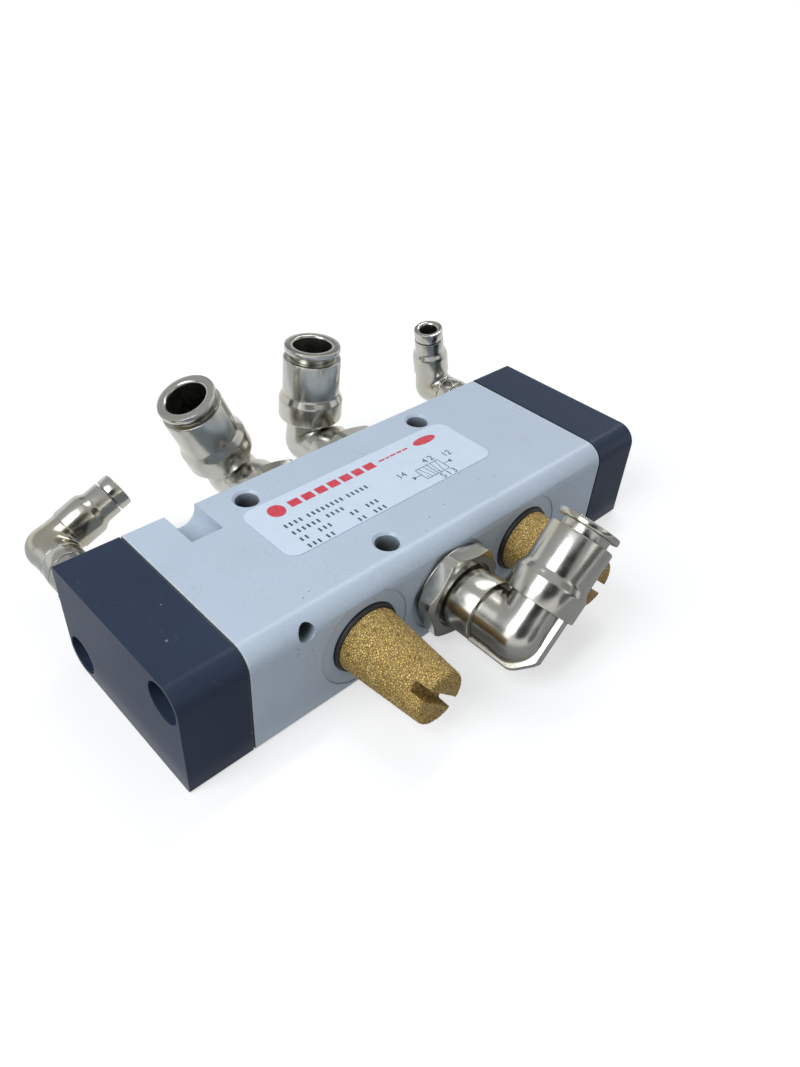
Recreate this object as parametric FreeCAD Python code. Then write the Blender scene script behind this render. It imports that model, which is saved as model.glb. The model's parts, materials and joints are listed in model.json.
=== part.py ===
import FreeCAD, Part
import math
import os
from FreeCAD import Matrix, Placement, Vector

# A five-port, two-position spool valve, worked by air at both ends.
# All sizes are in millimetres. X runs along the valve, with the left end at -X.
# The front, with the supply and exhaust ports, faces -Y. The outlets and pilots face +Y.
# Z is up, and the origin is the middle of the underside.

# Valve block: body, gaskets and end caps share one section
valve_width = 37.0
valve_height = 22.0
cap_length = 12.0
gasket_thickness = 0.4
gasket_inset = 0.25
rounded_corner = 4.0
sharp_corner = 0.6

# Ports in the body, with a parallel pipe thread
port_pitch = 10.5
front_port_height = 10.4
port_thread_radius = 6.58
port_thread_depth = 9.4
port_mouth_radius = 7.1
passage_radius = 4.2
spotface_clearance = 1.435
spotface_depth = 0.2
thread_clearance = 0.05

# Holes and grooves in the body
mount_hole_radius = 2.25
mount_hole_spacing = 44.0
mount_hole_back = 13.6
third_hole_x = -10.5
third_hole_front = 11.8
mount_hole_chamfer = 0.5
vent_radius = 1.6
vent_from_end = 11.1
vent_height = 19.4
vent_depth = 6.0
notch_from_end = 11.35
notch_width = 6.3
notch_depth = 4.1
notch_length = 9.3

# End caps and their screws
cap_screw_inset = 4.3
cap_screw_radius = 2.0
cap_screw_reach = 8.0
cap_screw_head_radius = 3.5
cap_screw_head_height = 4.0
cap_screw_socket_width = 3.0
cap_screw_socket_depth = 2.0
counterbore_radius = 3.7
counterbore_depth = 9.4
screw_hole_clearance = 0.25
chamber_radius = 6.0
chamber_depth = 8.0
pilot_port_inset = 6.0
pilot_thread_radius = 2.5
pilot_thread_depth = 6.0

# Spool, its cages and seals, and the pistons
bore_radius = 8.5
bore_clearance = 0.05
spool_radius = 5.0
spool_clearance = 0.05
spool_neck_radius = 3.0
spool_neck_length = 10.4
spool_neck_taper = 1.0
spool_stroke = 5.0
seal_thickness = 2.0
cage_inner_radius = 5.7
cage_rim = 1.3
cage_waist_radius = 7.2
cage_window_radius = 1.9
bush_bore_radius = 7.5
bush_guide_thickness = 2.0
bush_vent_radius = 1.2
bush_vent_inset = 0.3
piston_length = 10.45
piston_clearance = 0.05
piston_seal_width = 2.2
piston_seal_depth = 1.2
piston_skirt_radius = 4.5
piston_skirt_depth = 4.0
piston_stop_gap = 0.1
spigot_radius = 2.4
spigot_length = 3.0

# Name label on top
label_length = 51.6
label_width = 15.5
label_back = 10.3
label_x = -0.5
label_corner = 2.5
label_thickness = 0.12

# Cone silencers
silencer_length = 18.0
silencer_tip_radius = 5.1
silencer_tip_round = 0.5
silencer_slot_width = 1.9
silencer_slot_depth = 3.0
silencer_wall = 2.0
silencer_port_5_slot_angle = -44.5
silencer_port_3_slot_angle = -42.0

# Swivel elbows for the supply and outlet ports, for a tube of 8 mm
port_tube_radius = 4.1
port_washer_thickness = 0.5
back_washer_thickness = 1.4
port_hex_land = 1.92
port_hex_corner_cut = 0.4
port_washer_inset = 1.2
port_hex_height = 3.7
port_recess_radius = 6.75
port_recess_depth = 0.8
port_adapter_thread_length = 8.0
port_flow_radius = 3.3
port_stem_radius = 4.9
port_stem_length = 5.4
port_sleeve_radius = 6.2
port_sleeve_length = 6.4
port_corner_height = 12.5
port_corner_radius = 5.2
port_rim_thickness = 2.4
port_rim_chamfer = 3.6
port_ring_start = 6.3
port_ring_radius = 7.0
port_ring_end = 10.7
port_arm_start = 12.2
port_arm_radius = 6.2
port_arm_end = 20.3
port_lip_land = 1.2
port_tube_stop = 8.0
port_seal_start = 12.6
port_seal_length = 1.9
port_cavity_radius = 5.45
port_collet_neck_radius = 4.7
port_collet_flange_radius = 6.0
port_collet_flange_thickness = 1.2
port_collet_gap = 1.5
port_collet_travel_in = 1.1
port_collet_travel_out = 0.3
port_1_angle = 46.0
port_2_angle = 87.3
port_4_angle = 113.5

# Swivel elbows for the pilot ports, for a tube of 4 mm
pilot_tube_radius = 2.1
pilot_washer_thickness = 0.8
pilot_hex_land = 2.0
pilot_hex_corner_cut = 0.25
pilot_washer_inset = 0.65
pilot_hex_height = 3.6
pilot_collar_radius = 4.25
pilot_collar_length = 4.5
pilot_adapter_thread_length = 4.5
pilot_flow_radius = 1.5
pilot_stem_radius = 3.0
pilot_stem_length = 4.0
pilot_corner_height = 8.8
pilot_corner_radius = 4.3
pilot_taper_start = 9.8
pilot_taper_end = 11.0
pilot_arm_radius = 3.5
pilot_arm_end = 14.1
pilot_lip_land = 1.0
pilot_tube_stop = 5.0
pilot_seal_start = 7.6
pilot_seal_length = 1.3
pilot_cavity_radius = 3.0
pilot_collet_neck_radius = 2.55
pilot_collet_flange_radius = 3.45
pilot_collet_flange_thickness = 2.4
pilot_collet_gap = 0.3
pilot_collet_travel_in = 0.25
pilot_collet_travel_out = 0.8
pilot_12_angle = 102.0
pilot_14_angle = 24.0

# Shapes and fits that both kinds of elbow share
hex_turn_angle = 50.0
swivel_clearance = 0.05
swivel_gap = 0.2
lip_height = 0.5
lip_width = 0.7
lip_gap = 0.1
swivel_seal_section = 1.0
pilot_swivel_seal_section = 0.66
seal_squeeze_gap = 0.02
seal_corner = 0.3
collet_clearance = 0.1
collet_slot_width = 0.7
collet_slots = 6
claw_height = 0.6
pilot_claw_height = 0.35
edge_break = 0.3

# Places worked out from the sizes above
half_width = valve_width / 2
mid_height = valve_height / 2
stack_end = 2.5 * port_pitch + seal_thickness / 2
spool_rest = -spool_stroke / 2
piston_inner = stack_end + bush_guide_thickness + spool_stroke / 2 + 2 * piston_stop_gap
piston_outer = piston_inner + piston_length
cap_start = piston_outer + spool_stroke / 2 + piston_stop_gap
body_end = cap_start - gasket_thickness
cap_end = cap_start + cap_length
cap_screw_seat = cap_end - counterbore_depth
port_hex_width = 2 * (port_thread_radius + port_hex_land)
port_hex_turned_radius = port_hex_width / math.sqrt(3) - port_hex_corner_cut
port_washer_radius = port_hex_turned_radius - port_washer_inset
spotface_radius = port_washer_radius + spotface_clearance
pilot_hex_width = 2 * (pilot_thread_radius + pilot_hex_land)
pilot_hex_turned_radius = pilot_hex_width / math.sqrt(3) - pilot_hex_corner_cut
pilot_washer_radius = pilot_hex_turned_radius - pilot_washer_inset
X_AXIS = Vector(1, 0, 0)
Y_AXIS = Vector(0, 1, 0)
Z_AXIS = Vector(0, 0, 1)


def turned(profile):
    """Solid of revolution about local Z from (station, radius) corners."""
    points = [Vector(radius, 0, station) for station, radius in profile]
    outline = Part.makePolygon(points + points[:1])
    return Part.Face(outline).revolve(Vector(), Z_AXIS, 360)


def rod(radius, start, end):
    """Plain cylinder along local Z, from one station to another."""
    return Part.makeCylinder(radius, end - start, Vector(0, 0, start))


def ring(outer, inner, start, end):
    """Plain tube along local Z."""
    return turned([(start, inner), (end, inner), (end, outer), (start, outer)])


def hexagon(width_across_flats, start, end):
    """Hexagonal prism along local Z, with two flats facing local Y."""
    corner = width_across_flats / math.sqrt(3)
    points = [Vector(corner * math.cos(math.radians(60 * i)),
                     corner * math.sin(math.radians(60 * i)), start) for i in range(7)]
    return Part.Face(Part.makePolygon(points)).extrude(Vector(0, 0, end - start))


def seated(shape, origin, outward, sideways):
    """Copy of a local shape with its Z along outward and its X along sideways."""
    across = outward.cross(sideways)
    matrix = Matrix(sideways.x, across.x, outward.x, origin.x,
                    sideways.y, across.y, outward.y, origin.y,
                    sideways.z, across.z, outward.z, origin.z,
                    0, 0, 0, 1)
    copy = shape.copy()
    copy.Placement = Placement(matrix)
    return copy


def along_x(shape, x=0.0, y=0.0, z=0.0):
    """Local shape laid along the valve's length."""
    return seated(shape, Vector(x, y, z), X_AXIS, Y_AXIS)


def mirrored(shape):
    """The same piece for the other end of the valve."""
    return shape.mirror(Vector(), X_AXIS)


def section_block(start, end, inset=0.0):
    """Length of the valve's section, rounded where a cap screw passes and sharp elsewhere."""
    low_y = -half_width + inset
    high_y = half_width - inset
    high_z = valve_height - inset
    block = Part.makeBox(end - start, high_y - low_y, high_z - inset, Vector(start, low_y, inset))
    for radius, corners in ((rounded_corner, ((low_y, high_z), (high_y, inset))),
                            (sharp_corner, ((low_y, inset), (high_y, high_z)))):
        edges = [edge for edge in block.Edges for y, z in corners
                 if all(abs(v.Y - y) < 1e-6 and abs(v.Z - z) < 1e-6 for v in edge.Vertexes)]
        block = block.makeFillet(radius, edges)
    return block


def cap_screw_places():
    """Two screw axes on opposite corners of the section, as (y, z)."""
    return ((-half_width + cap_screw_inset, valve_height - cap_screw_inset),
            (half_width - cap_screw_inset, cap_screw_inset))


def port_frame(x, side, height, angle, lift=0.0):
    """Seat of a port fitting: its origin, its outward axis and where its arm points."""
    outward = Vector(0, side, 0)
    origin = Vector(x, side * (half_width - lift), height)
    arm = Vector(math.cos(math.radians(angle)), 0, math.sin(math.radians(angle)))
    return origin, outward, arm


def port_cutter():
    """Spotface, thread, mouth chamfer and passage of one port, seat plane at local zero."""
    chamfer = port_mouth_radius - port_thread_radius
    thread_end = -port_thread_depth
    bore_depth = half_width - spotface_depth
    cutter = turned([(-bore_depth, 0), (-bore_depth, passage_radius), (thread_end - 1, passage_radius),
                     (thread_end, port_thread_radius), (-chamfer, port_thread_radius),
                     (0, port_mouth_radius), (0, spotface_radius), (1, spotface_radius), (1, 0)])
    return cutter


def body_ports():
    """The five ports, three at the front and two at the back."""
    cutters = []
    for x in (-2 * port_pitch, 0.0, 2 * port_pitch):
        cutters.append(seated(port_cutter(), *port_frame(x, -1, front_port_height, 0, spotface_depth)))
    for x in (-port_pitch, port_pitch):
        cutters.append(seated(port_cutter(), *port_frame(x, 1, mid_height, 0, spotface_depth)))
    return cutters


def mounting_holes():
    """Three through holes with broken edges at both faces."""
    radius = mount_hole_radius
    wide = radius + mount_hole_chamfer
    hole = turned([(-1, 0), (-1, wide), (0, wide), (mount_hole_chamfer, radius),
                   (valve_height - mount_hole_chamfer, radius), (valve_height, wide),
                   (valve_height + 1, wide), (valve_height + 1, 0)])
    places = ((-mount_hole_spacing / 2, mount_hole_back), (mount_hole_spacing / 2, mount_hole_back),
              (third_hole_x, -third_hole_front))
    return [seated(hole, Vector(x, y, 0), Z_AXIS, X_AXIS) for x, y in places]


def locating_notch():
    """Round-bottomed groove let into the top at the back edge."""
    radius = notch_width / 2
    floor = valve_height - notch_depth
    notch_x = notch_from_end - body_end
    start = Vector(notch_x, half_width - notch_length, floor + radius)
    groove = Part.makeCylinder(radius, notch_length + 1, start, Y_AXIS)
    opening = Part.makeBox(notch_width, notch_length + 1, notch_depth,
                           Vector(notch_x - radius, start.y, floor + radius))
    return groove.fuse(opening)


def valve_body():
    """Aluminium block with the spool bore, ports, mounting holes and tapped ends."""
    block = section_block(-body_end, body_end)
    cutters = [along_x(rod(bore_radius, -body_end - 1, body_end + 1), z=mid_height)]
    cutters += body_ports()
    cutters += mounting_holes()
    cutters.append(locating_notch())
    vent_start = Vector(vent_from_end - body_end, -half_width - 1, vent_height)
    cutters.append(Part.makeCylinder(vent_radius, vent_depth + 1, vent_start, Y_AXIS))
    tapped_radius = cap_screw_radius + thread_clearance
    tapped_depth = cap_screw_reach + 1
    for y, z in cap_screw_places():
        for start in (-body_end - 1, body_end - tapped_depth):
            cutters.append(along_x(rod(tapped_radius, 0, tapped_depth + 1), start, y, z))
    return block.cut(cutters)


def end_cap():
    """Right end cap with its air chamber, pilot port and two deep counterbores."""
    cap = section_block(cap_start, cap_end)
    hole_radius = cap_screw_radius + screw_hole_clearance
    cutters = [along_x(rod(chamber_radius, cap_start - 1, cap_start + chamber_depth), z=mid_height)]
    for y, z in cap_screw_places():
        hole = turned([(cap_start - 1, 0), (cap_start - 1, hole_radius), (cap_screw_seat, hole_radius),
                       (cap_screw_seat, counterbore_radius), (cap_end + 1, counterbore_radius),
                       (cap_end + 1, 0)])
        cutters.append(along_x(hole, y=y, z=z))
    pilot_x = cap_end - pilot_port_inset
    thread_start = half_width - pilot_thread_depth
    pilot = turned([(0, 0), (0, pilot_flow_radius), (thread_start, pilot_flow_radius),
                    (thread_start, pilot_thread_radius), (half_width + 1, pilot_thread_radius),
                    (half_width + 1, 0)])
    cutters.append(seated(pilot, Vector(pilot_x, 0, mid_height), Y_AXIS, X_AXIS))
    return cap.cut(cutters)


def cap_gasket():
    """Flat gasket between body and cap, open at the bore and the screws."""
    gasket = section_block(body_end, cap_start, gasket_inset)
    hole_radius = cap_screw_radius + screw_hole_clearance
    cutters = [along_x(rod(bore_radius, body_end - 1, cap_start + 1), z=mid_height)]
    for y, z in cap_screw_places():
        cutters.append(along_x(rod(hole_radius, body_end - 1, cap_start + 1), y=y, z=z))
    return gasket.cut(cutters)


def cap_screws():
    """The two socket screws of the right cap, heads at the bottom of the counterbores."""
    head_top = cap_screw_seat + cap_screw_head_height
    tip = body_end - cap_screw_reach
    screw = turned([(tip, 0), (tip, cap_screw_radius - edge_break), (tip + edge_break, cap_screw_radius),
                    (cap_screw_seat, cap_screw_radius), (cap_screw_seat, cap_screw_head_radius),
                    (head_top - edge_break, cap_screw_head_radius),
                    (head_top, cap_screw_head_radius - edge_break), (head_top, 0)])
    screw = screw.cut(hexagon(cap_screw_socket_width, head_top - cap_screw_socket_depth, head_top + 1))
    return Part.makeCompound([along_x(screw, y=y, z=z) for y, z in cap_screw_places()])


def name_label():
    """Thin adhesive label with rounded corners."""
    corner = Vector(label_x - label_length / 2, label_back - label_width, valve_height)
    label = Part.makeBox(label_length, label_width, label_thickness, corner)
    edges = [edge for edge in label.Edges
             if abs(edge.Vertexes[0].Z - edge.Vertexes[1].Z) > label_thickness / 2]
    return label.makeFillet(label_corner, edges)


def silencer(slot_angle):
    """Hollow sintered cone with a threaded foot and a screwdriver slot across its tip."""
    foot_radius = port_thread_radius - thread_clearance
    foot = -port_adapter_thread_length
    tip = silencer_length + spotface_depth
    tip_break = silencer_tip_round
    hollow_end = tip - silencer_slot_depth - silencer_wall
    hollow_radius = foot_radius - silencer_wall
    narrow_radius = silencer_tip_radius - silencer_wall
    cone = turned([(foot, hollow_radius), (foot, foot_radius - edge_break), (foot + edge_break, foot_radius),
                   (0, foot_radius), (tip - tip_break, silencer_tip_radius + tip_break / 8),
                   (tip - tip_break * 0.3, silencer_tip_radius - tip_break * 0.3),
                   (tip, silencer_tip_radius - tip_break), (tip, 0), (hollow_end, 0),
                   (hollow_end, narrow_radius), (0, hollow_radius)])
    slot = Part.makeBox(2 * port_thread_radius, silencer_slot_width, silencer_slot_depth + 1,
                        Vector(-port_thread_radius, -silencer_slot_width / 2, tip - silencer_slot_depth))
    slot.rotate(Vector(), Z_AXIS, slot_angle)
    return cone.cut(slot)


def spool():
    """Spool with two necks between three lands, and a spigot at each end for a piston."""
    taper = spool_neck_taper
    half_neck = spool_neck_length / 2
    half = [(port_pitch - half_neck, spool_radius), (port_pitch - half_neck + taper, spool_neck_radius),
            (port_pitch + half_neck - taper, spool_neck_radius), (port_pitch + half_neck, spool_radius),
            (piston_inner, spool_radius), (piston_inner, spigot_radius),
            (piston_inner + spigot_length, spigot_radius), (piston_inner + spigot_length, 0)]
    profile = [(-station, radius) for station, radius in reversed(half)] + half
    return along_x(turned(profile), spool_rest, z=mid_height)


def piston(end):
    """Piston at the right (end 1) or left (end -1) of the spool, with a seal groove and a hollow face."""
    radius = bush_bore_radius - piston_clearance
    middle = (piston_inner + piston_outer) / 2
    groove_start = middle - piston_seal_width / 2
    groove_end = middle + piston_seal_width / 2
    floor = radius - piston_seal_depth
    body = turned([(piston_inner, spigot_radius), (piston_inner, radius - edge_break),
                   (piston_inner + edge_break, radius), (groove_start, radius), (groove_start, floor),
                   (groove_end, floor), (groove_end, radius), (piston_outer - edge_break, radius),
                   (piston_outer, radius - edge_break), (piston_outer, piston_skirt_radius),
                   (piston_outer - piston_skirt_depth, piston_skirt_radius),
                   (piston_outer - piston_skirt_depth, 0), (piston_inner + spigot_length, 0),
                   (piston_inner + spigot_length, spigot_radius)])
    body = along_x(body, spool_rest * end, z=mid_height)
    return body if end > 0 else mirrored(body)


def piston_seal(end):
    """Seal in the piston's groove."""
    radius = bush_bore_radius - piston_clearance
    middle = (piston_inner + piston_outer) / 2
    half = piston_seal_width / 2 - seal_squeeze_gap
    body = ring(radius + piston_clearance / 2, radius - piston_seal_depth, middle - half, middle + half)
    body = along_x(body, spool_rest * end, z=mid_height)
    return body if end > 0 else mirrored(body)


def spool_cage(x):
    """Spacer between two spool seals, waisted and pierced to let air through to a port."""
    outer = bore_radius - bore_clearance
    half = (port_pitch - seal_thickness) / 2
    waist = half - cage_rim
    cage = turned([(-half, cage_inner_radius), (half, cage_inner_radius), (half, outer), (waist, outer),
                   (waist, cage_waist_radius), (-waist, cage_waist_radius), (-waist, outer), (-half, outer)])
    for turn in (0, 90):
        window = Part.makeCylinder(cage_window_radius, 2 * outer, Vector(-outer, 0, 0), X_AXIS)
        window.rotate(Vector(), Z_AXIS, turn)
        cage = cage.cut(window)
    return along_x(cage, x, z=mid_height)


def spool_seal(x):
    """Seal ring that the spool slides through."""
    half = seal_thickness / 2
    outer = bore_radius - bore_clearance
    inner = spool_radius + spool_clearance
    return along_x(ring(outer, inner, -half, half), x, z=mid_height)


def piston_bush():
    """Right cylinder bush: guides the spool at its inner end and the piston along the rest."""
    outer = bore_radius - bore_clearance
    guide = spool_radius + spool_clearance
    step = stack_end + bush_guide_thickness
    bush = turned([(stack_end, guide), (step, guide), (step, bush_bore_radius), (body_end, bush_bore_radius),
                   (body_end, outer), (stack_end, outer)])
    vent_station = step + bush_vent_inset + bush_vent_radius
    vent = Part.makeCylinder(bush_vent_radius, bore_radius, Vector(0, 0, vent_station), X_AXIS)
    return along_x(bush.cut(vent), z=mid_height)


def fitting_adapter(part, washer_thickness):
    """Threaded lower half of a swivel elbow: thread, hexagon, and the stem that the elbow turns on."""
    hex_start = washer_thickness
    hex_end = hex_start + part["hex_height"]
    collar_end = hex_end + part["collar_length"]
    stem_end = collar_end + part["stem_length"]
    thread = part["thread_radius"] - thread_clearance
    stem = part["stem_radius"]
    flow = part["flow_radius"]
    lip_start = swivel_stations(part, washer_thickness)["lip"] - lip_gap
    lip_end = lip_start + lip_width + 2 * lip_gap
    lip_floor = stem - lip_height - lip_gap
    seal_start = swivel_stations(part, washer_thickness)["seal"]
    seal_end = seal_start + part["seal_section"] + 2 * seal_squeeze_gap
    seal_floor = stem - part["seal_section"]
    foot = -part["thread_length"]
    hub = part["collar_radius"]
    blank = turned([(foot, flow), (foot, thread - edge_break), (foot + edge_break, thread),
                    (hex_start, thread), (hex_start, hub), (collar_end, hub), (collar_end, stem),
                    (lip_start, stem), (lip_start, lip_floor), (lip_end, lip_floor), (lip_end, stem),
                    (seal_start, stem), (seal_start, seal_floor), (seal_end, seal_floor), (seal_end, stem),
                    (stem_end - edge_break, stem), (stem_end, stem - edge_break), (stem_end, flow)])
    turned_edge = part["hex_turned_radius"]
    bevel = turned_edge - part["hex_width"] / 2 + edge_break
    hexagonal = hexagon(part["hex_width"], hex_start, hex_end)
    lathe = turned([(hex_start, hub - edge_break), (hex_start, turned_edge - bevel),
                    (hex_start + bevel / 2, turned_edge), (hex_end - bevel / 2, turned_edge),
                    (hex_end, turned_edge - bevel), (hex_end, hub - edge_break)])
    adapter = blank.fuse(hexagonal.common(lathe))
    if part["recess_depth"] > 0:
        recess = ring(part["recess_radius"], stem, hex_end - part["recess_depth"], hex_end + 1)
        adapter = adapter.cut(recess)
    return adapter.removeSplitter()


def swivel_stations(part, washer_thickness):
    """Stations along the stem where the elbow starts, its lip sits, its seal sits and it ends."""
    collar_end = washer_thickness + part["hex_height"] + part["collar_length"]
    mouth = collar_end - part["recess_depth"] + swivel_gap
    lip = collar_end + lip_width
    seal = lip + 2 * lip_width
    floor = collar_end + part["stem_length"] + swivel_gap
    corner = collar_end + part["corner_height"]
    return {"mouth": mouth, "lip": lip, "seal": seal, "floor": floor, "corner": corner}


def fitting_washer(part, washer_thickness):
    """Seal washer under the hexagon."""
    return ring(part["washer_radius"], part["thread_radius"], 0, washer_thickness)


def swivel_seal(part, washer_thickness):
    """Ring seal between the stem and the elbow, squeezed flat on the groove's floor and in the bore."""
    section = part["seal_section"]
    start = swivel_stations(part, washer_thickness)["seal"] + seal_squeeze_gap
    end = start + section
    outer = part["stem_radius"]
    inner = outer - section + seal_squeeze_gap
    corner = seal_corner * section
    return turned([(start, inner + corner), (start + corner, inner), (end - corner, inner),
                   (end, inner + corner), (end, outer - corner), (end - corner, outer),
                   (start + corner, outer), (start, outer - corner)])


def elbow_bores(part, stations):
    """Everything that is hollow in an elbow: the seat on the stem, the flow path and the tube socket."""
    stem = part["stem_radius"] + swivel_clearance
    lip = part["stem_radius"] - lip_height
    flow = part["flow_radius"]
    corner = stations["corner"]
    seat = turned([(stations["mouth"] - 1, 0), (stations["mouth"] - 1, stem), (stations["lip"], stem),
                   (stations["lip"], lip), (stations["lip"] + lip_width, lip),
                   (stations["lip"] + lip_width, stem), (stations["floor"], stem),
                   (stations["floor"], flow), (corner, flow), (corner, 0)])
    cavity = part["cavity_radius"]
    collar = part["collet_neck_radius"] + collet_clearance
    slope_end = part["arm_end"] - part["lip_land"]
    slope_start = slope_end - (cavity - collar)
    socket = turned([(0, 0), (0, flow), (part["tube_stop"], flow), (part["tube_stop"], part["tube_radius"]),
                     (part["seal_start"], part["tube_radius"]), (part["seal_start"], cavity),
                     (slope_start, cavity), (slope_end, collar), (part["arm_end"] + 1, collar),
                     (part["arm_end"] + 1, 0)])
    turn = Part.makeSphere(flow, Vector(0, 0, corner))
    return [seat, seated(socket, Vector(0, 0, corner), X_AXIS, Y_AXIS), turn]


def port_elbow(washer_thickness):
    """Forged elbow: sleeve over the stem, slim corner with a flat rim round it, stepped socket arm."""
    stations = swivel_stations(PORT_FITTING, washer_thickness)
    corner = stations["corner"]
    mouth = stations["mouth"]
    sleeve_end = mouth + port_sleeve_length
    slim = port_corner_radius
    sleeve = turned([(mouth, 0), (mouth, port_sleeve_radius - edge_break / 2),
                     (mouth + edge_break / 2, port_sleeve_radius),
                     (sleeve_end - edge_break, port_sleeve_radius),
                     (sleeve_end, port_sleeve_radius - edge_break), (sleeve_end, slim),
                     (corner, slim), (corner, 0)])
    start = port_ring_start
    arm = turned([(0, 0), (0, slim), (start - edge_break, slim), (start, port_ring_radius - edge_break),
                  (start + edge_break, port_ring_radius), (port_ring_end, port_ring_radius),
                  (port_arm_start, port_arm_radius), (port_arm_end - edge_break, port_arm_radius),
                  (port_arm_end, port_arm_radius - edge_break), (port_arm_end, 0)])
    knuckle = Part.makeSphere(slim, Vector(0, 0, corner))
    arm = seated(arm, Vector(0, 0, corner), X_AXIS, Y_AXIS)
    solid = sleeve.fuse([arm, knuckle, corner_rim(sleeve_end, corner)])
    return solid.cut(elbow_bores(PORT_FITTING, stations)).removeSplitter()


def corner_rim(sleeve_end, corner):
    """Flat rim in the plane of the two axes, round the outside of the corner, its corner cut off."""
    reach = port_sleeve_radius
    cut = port_rim_chamfer
    start = sleeve_end - edge_break
    end = port_ring_start + edge_break
    outline = [(0, start), (-reach, start), (-reach, corner + reach - cut), (-reach + cut, corner + reach),
               (end, corner + reach), (end, corner), (0, corner)]
    points = [Vector(x, -port_rim_thickness / 2, z) for x, z in outline]
    face = Part.Face(Part.makePolygon(points + points[:1]))
    return face.extrude(Vector(0, port_rim_thickness, 0))


def pilot_elbow():
    """Small elbow: plain sleeve, ball corner, and an arm that steps down to its collet."""
    stations = swivel_stations(PILOT_FITTING, pilot_washer_thickness)
    corner = stations["corner"]
    mouth = stations["mouth"]
    sleeve = turned([(mouth, 0), (mouth, pilot_collar_radius - edge_break / 2),
                     (mouth + edge_break / 2, pilot_collar_radius), (corner, pilot_corner_radius),
                     (corner, 0)])
    arm = turned([(0, 0), (0, pilot_corner_radius), (pilot_taper_start, pilot_corner_radius),
                  (pilot_taper_end, pilot_arm_radius), (pilot_arm_end, pilot_arm_radius), (pilot_arm_end, 0)])
    knuckle = Part.makeSphere(pilot_corner_radius, Vector(0, 0, corner))
    solid = sleeve.fuse([seated(arm, Vector(0, 0, corner), X_AXIS, Y_AXIS), knuckle])
    return solid.cut(elbow_bores(PILOT_FITTING, stations)).removeSplitter()


def tube_seal(part):
    """Seal ring round the tube, at the bottom of the socket's cavity. Local Z is the arm's axis."""
    start = part["seal_start"] + seal_squeeze_gap
    end = start + part["seal_length"]
    return ring(part["cavity_radius"] - seal_squeeze_gap, part["tube_radius"], start, end)


def collet(part):
    """Release collet: slotted claws inside the socket, a neck, and the ring that is pressed to let go."""
    neck = part["collet_neck_radius"]
    claw = neck + part["claw_height"]
    bore = part["tube_radius"]
    flange_start = part["arm_end"] + part["collet_gap"]
    flange_end = flange_start + part["flange_thickness"]
    flange = part["flange_radius"]
    slope_end = part["arm_end"] - part["lip_land"] - part["travel_out"]
    slope_start = slope_end - part["claw_height"]
    seal_end = part["seal_start"] + part["seal_length"] + 2 * seal_squeeze_gap
    claw_start = seal_end + part["travel_in"] + collet_clearance
    body = turned([(claw_start, bore), (claw_start, claw - edge_break / 2),
                   (claw_start + edge_break / 2, claw), (slope_start, claw), (slope_end, neck),
                   (flange_start, neck), (flange_start, flange),
                   (flange_end - edge_break, flange), (flange_end, flange - edge_break),
                   (flange_end, bore + edge_break), (flange_end - edge_break, bore)])
    slot_length = slope_end - claw_start + edge_break
    slot_corner = Vector(0, -collet_slot_width / 2, claw_start - 1)
    slot = Part.makeBox(claw, collet_slot_width, slot_length + 1, slot_corner)
    slots = []
    for i in range(collet_slots):
        copy = slot.copy()
        copy.rotate(Vector(), Z_AXIS, 360 * i / collet_slots)
        slots.append(copy)
    return body.cut(slots)


PORT_FITTING = {
    "thread_radius": port_thread_radius, "thread_length": port_adapter_thread_length,
    "washer_radius": port_washer_radius, "hex_width": port_hex_width,
    "hex_turned_radius": port_hex_turned_radius, "hex_height": port_hex_height,
    "collar_radius": port_stem_radius, "collar_length": 0.0,
    "recess_radius": port_recess_radius, "recess_depth": port_recess_depth,
    "flow_radius": port_flow_radius, "stem_radius": port_stem_radius, "stem_length": port_stem_length,
    "corner_height": port_corner_height, "seal_section": swivel_seal_section,
    "tube_radius": port_tube_radius, "tube_stop": port_tube_stop, "seal_start": port_seal_start,
    "seal_length": port_seal_length, "cavity_radius": port_cavity_radius, "arm_end": port_arm_end,
    "lip_land": port_lip_land, "claw_height": claw_height, "collet_neck_radius": port_collet_neck_radius,
    "flange_radius": port_collet_flange_radius, "flange_thickness": port_collet_flange_thickness,
    "collet_gap": port_collet_gap, "travel_in": port_collet_travel_in, "travel_out": port_collet_travel_out,
}

PILOT_FITTING = {
    "thread_radius": pilot_thread_radius, "thread_length": pilot_adapter_thread_length,
    "washer_radius": pilot_washer_radius, "hex_width": pilot_hex_width,
    "hex_turned_radius": pilot_hex_turned_radius, "hex_height": pilot_hex_height,
    "collar_radius": pilot_collar_radius, "collar_length": pilot_collar_length,
    "recess_radius": 0.0, "recess_depth": 0.0,
    "flow_radius": pilot_flow_radius, "stem_radius": pilot_stem_radius, "stem_length": pilot_stem_length,
    "corner_height": pilot_corner_height, "seal_section": pilot_swivel_seal_section,
    "tube_radius": pilot_tube_radius, "tube_stop": pilot_tube_stop, "seal_start": pilot_seal_start,
    "seal_length": pilot_seal_length, "cavity_radius": pilot_cavity_radius, "arm_end": pilot_arm_end,
    "lip_land": pilot_lip_land, "claw_height": pilot_claw_height,
    "collet_neck_radius": pilot_collet_neck_radius, "flange_radius": pilot_collet_flange_radius,
    "flange_thickness": pilot_collet_flange_thickness, "collet_gap": pilot_collet_gap,
    "travel_in": pilot_collet_travel_in, "travel_out": pilot_collet_travel_out,
}


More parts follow.
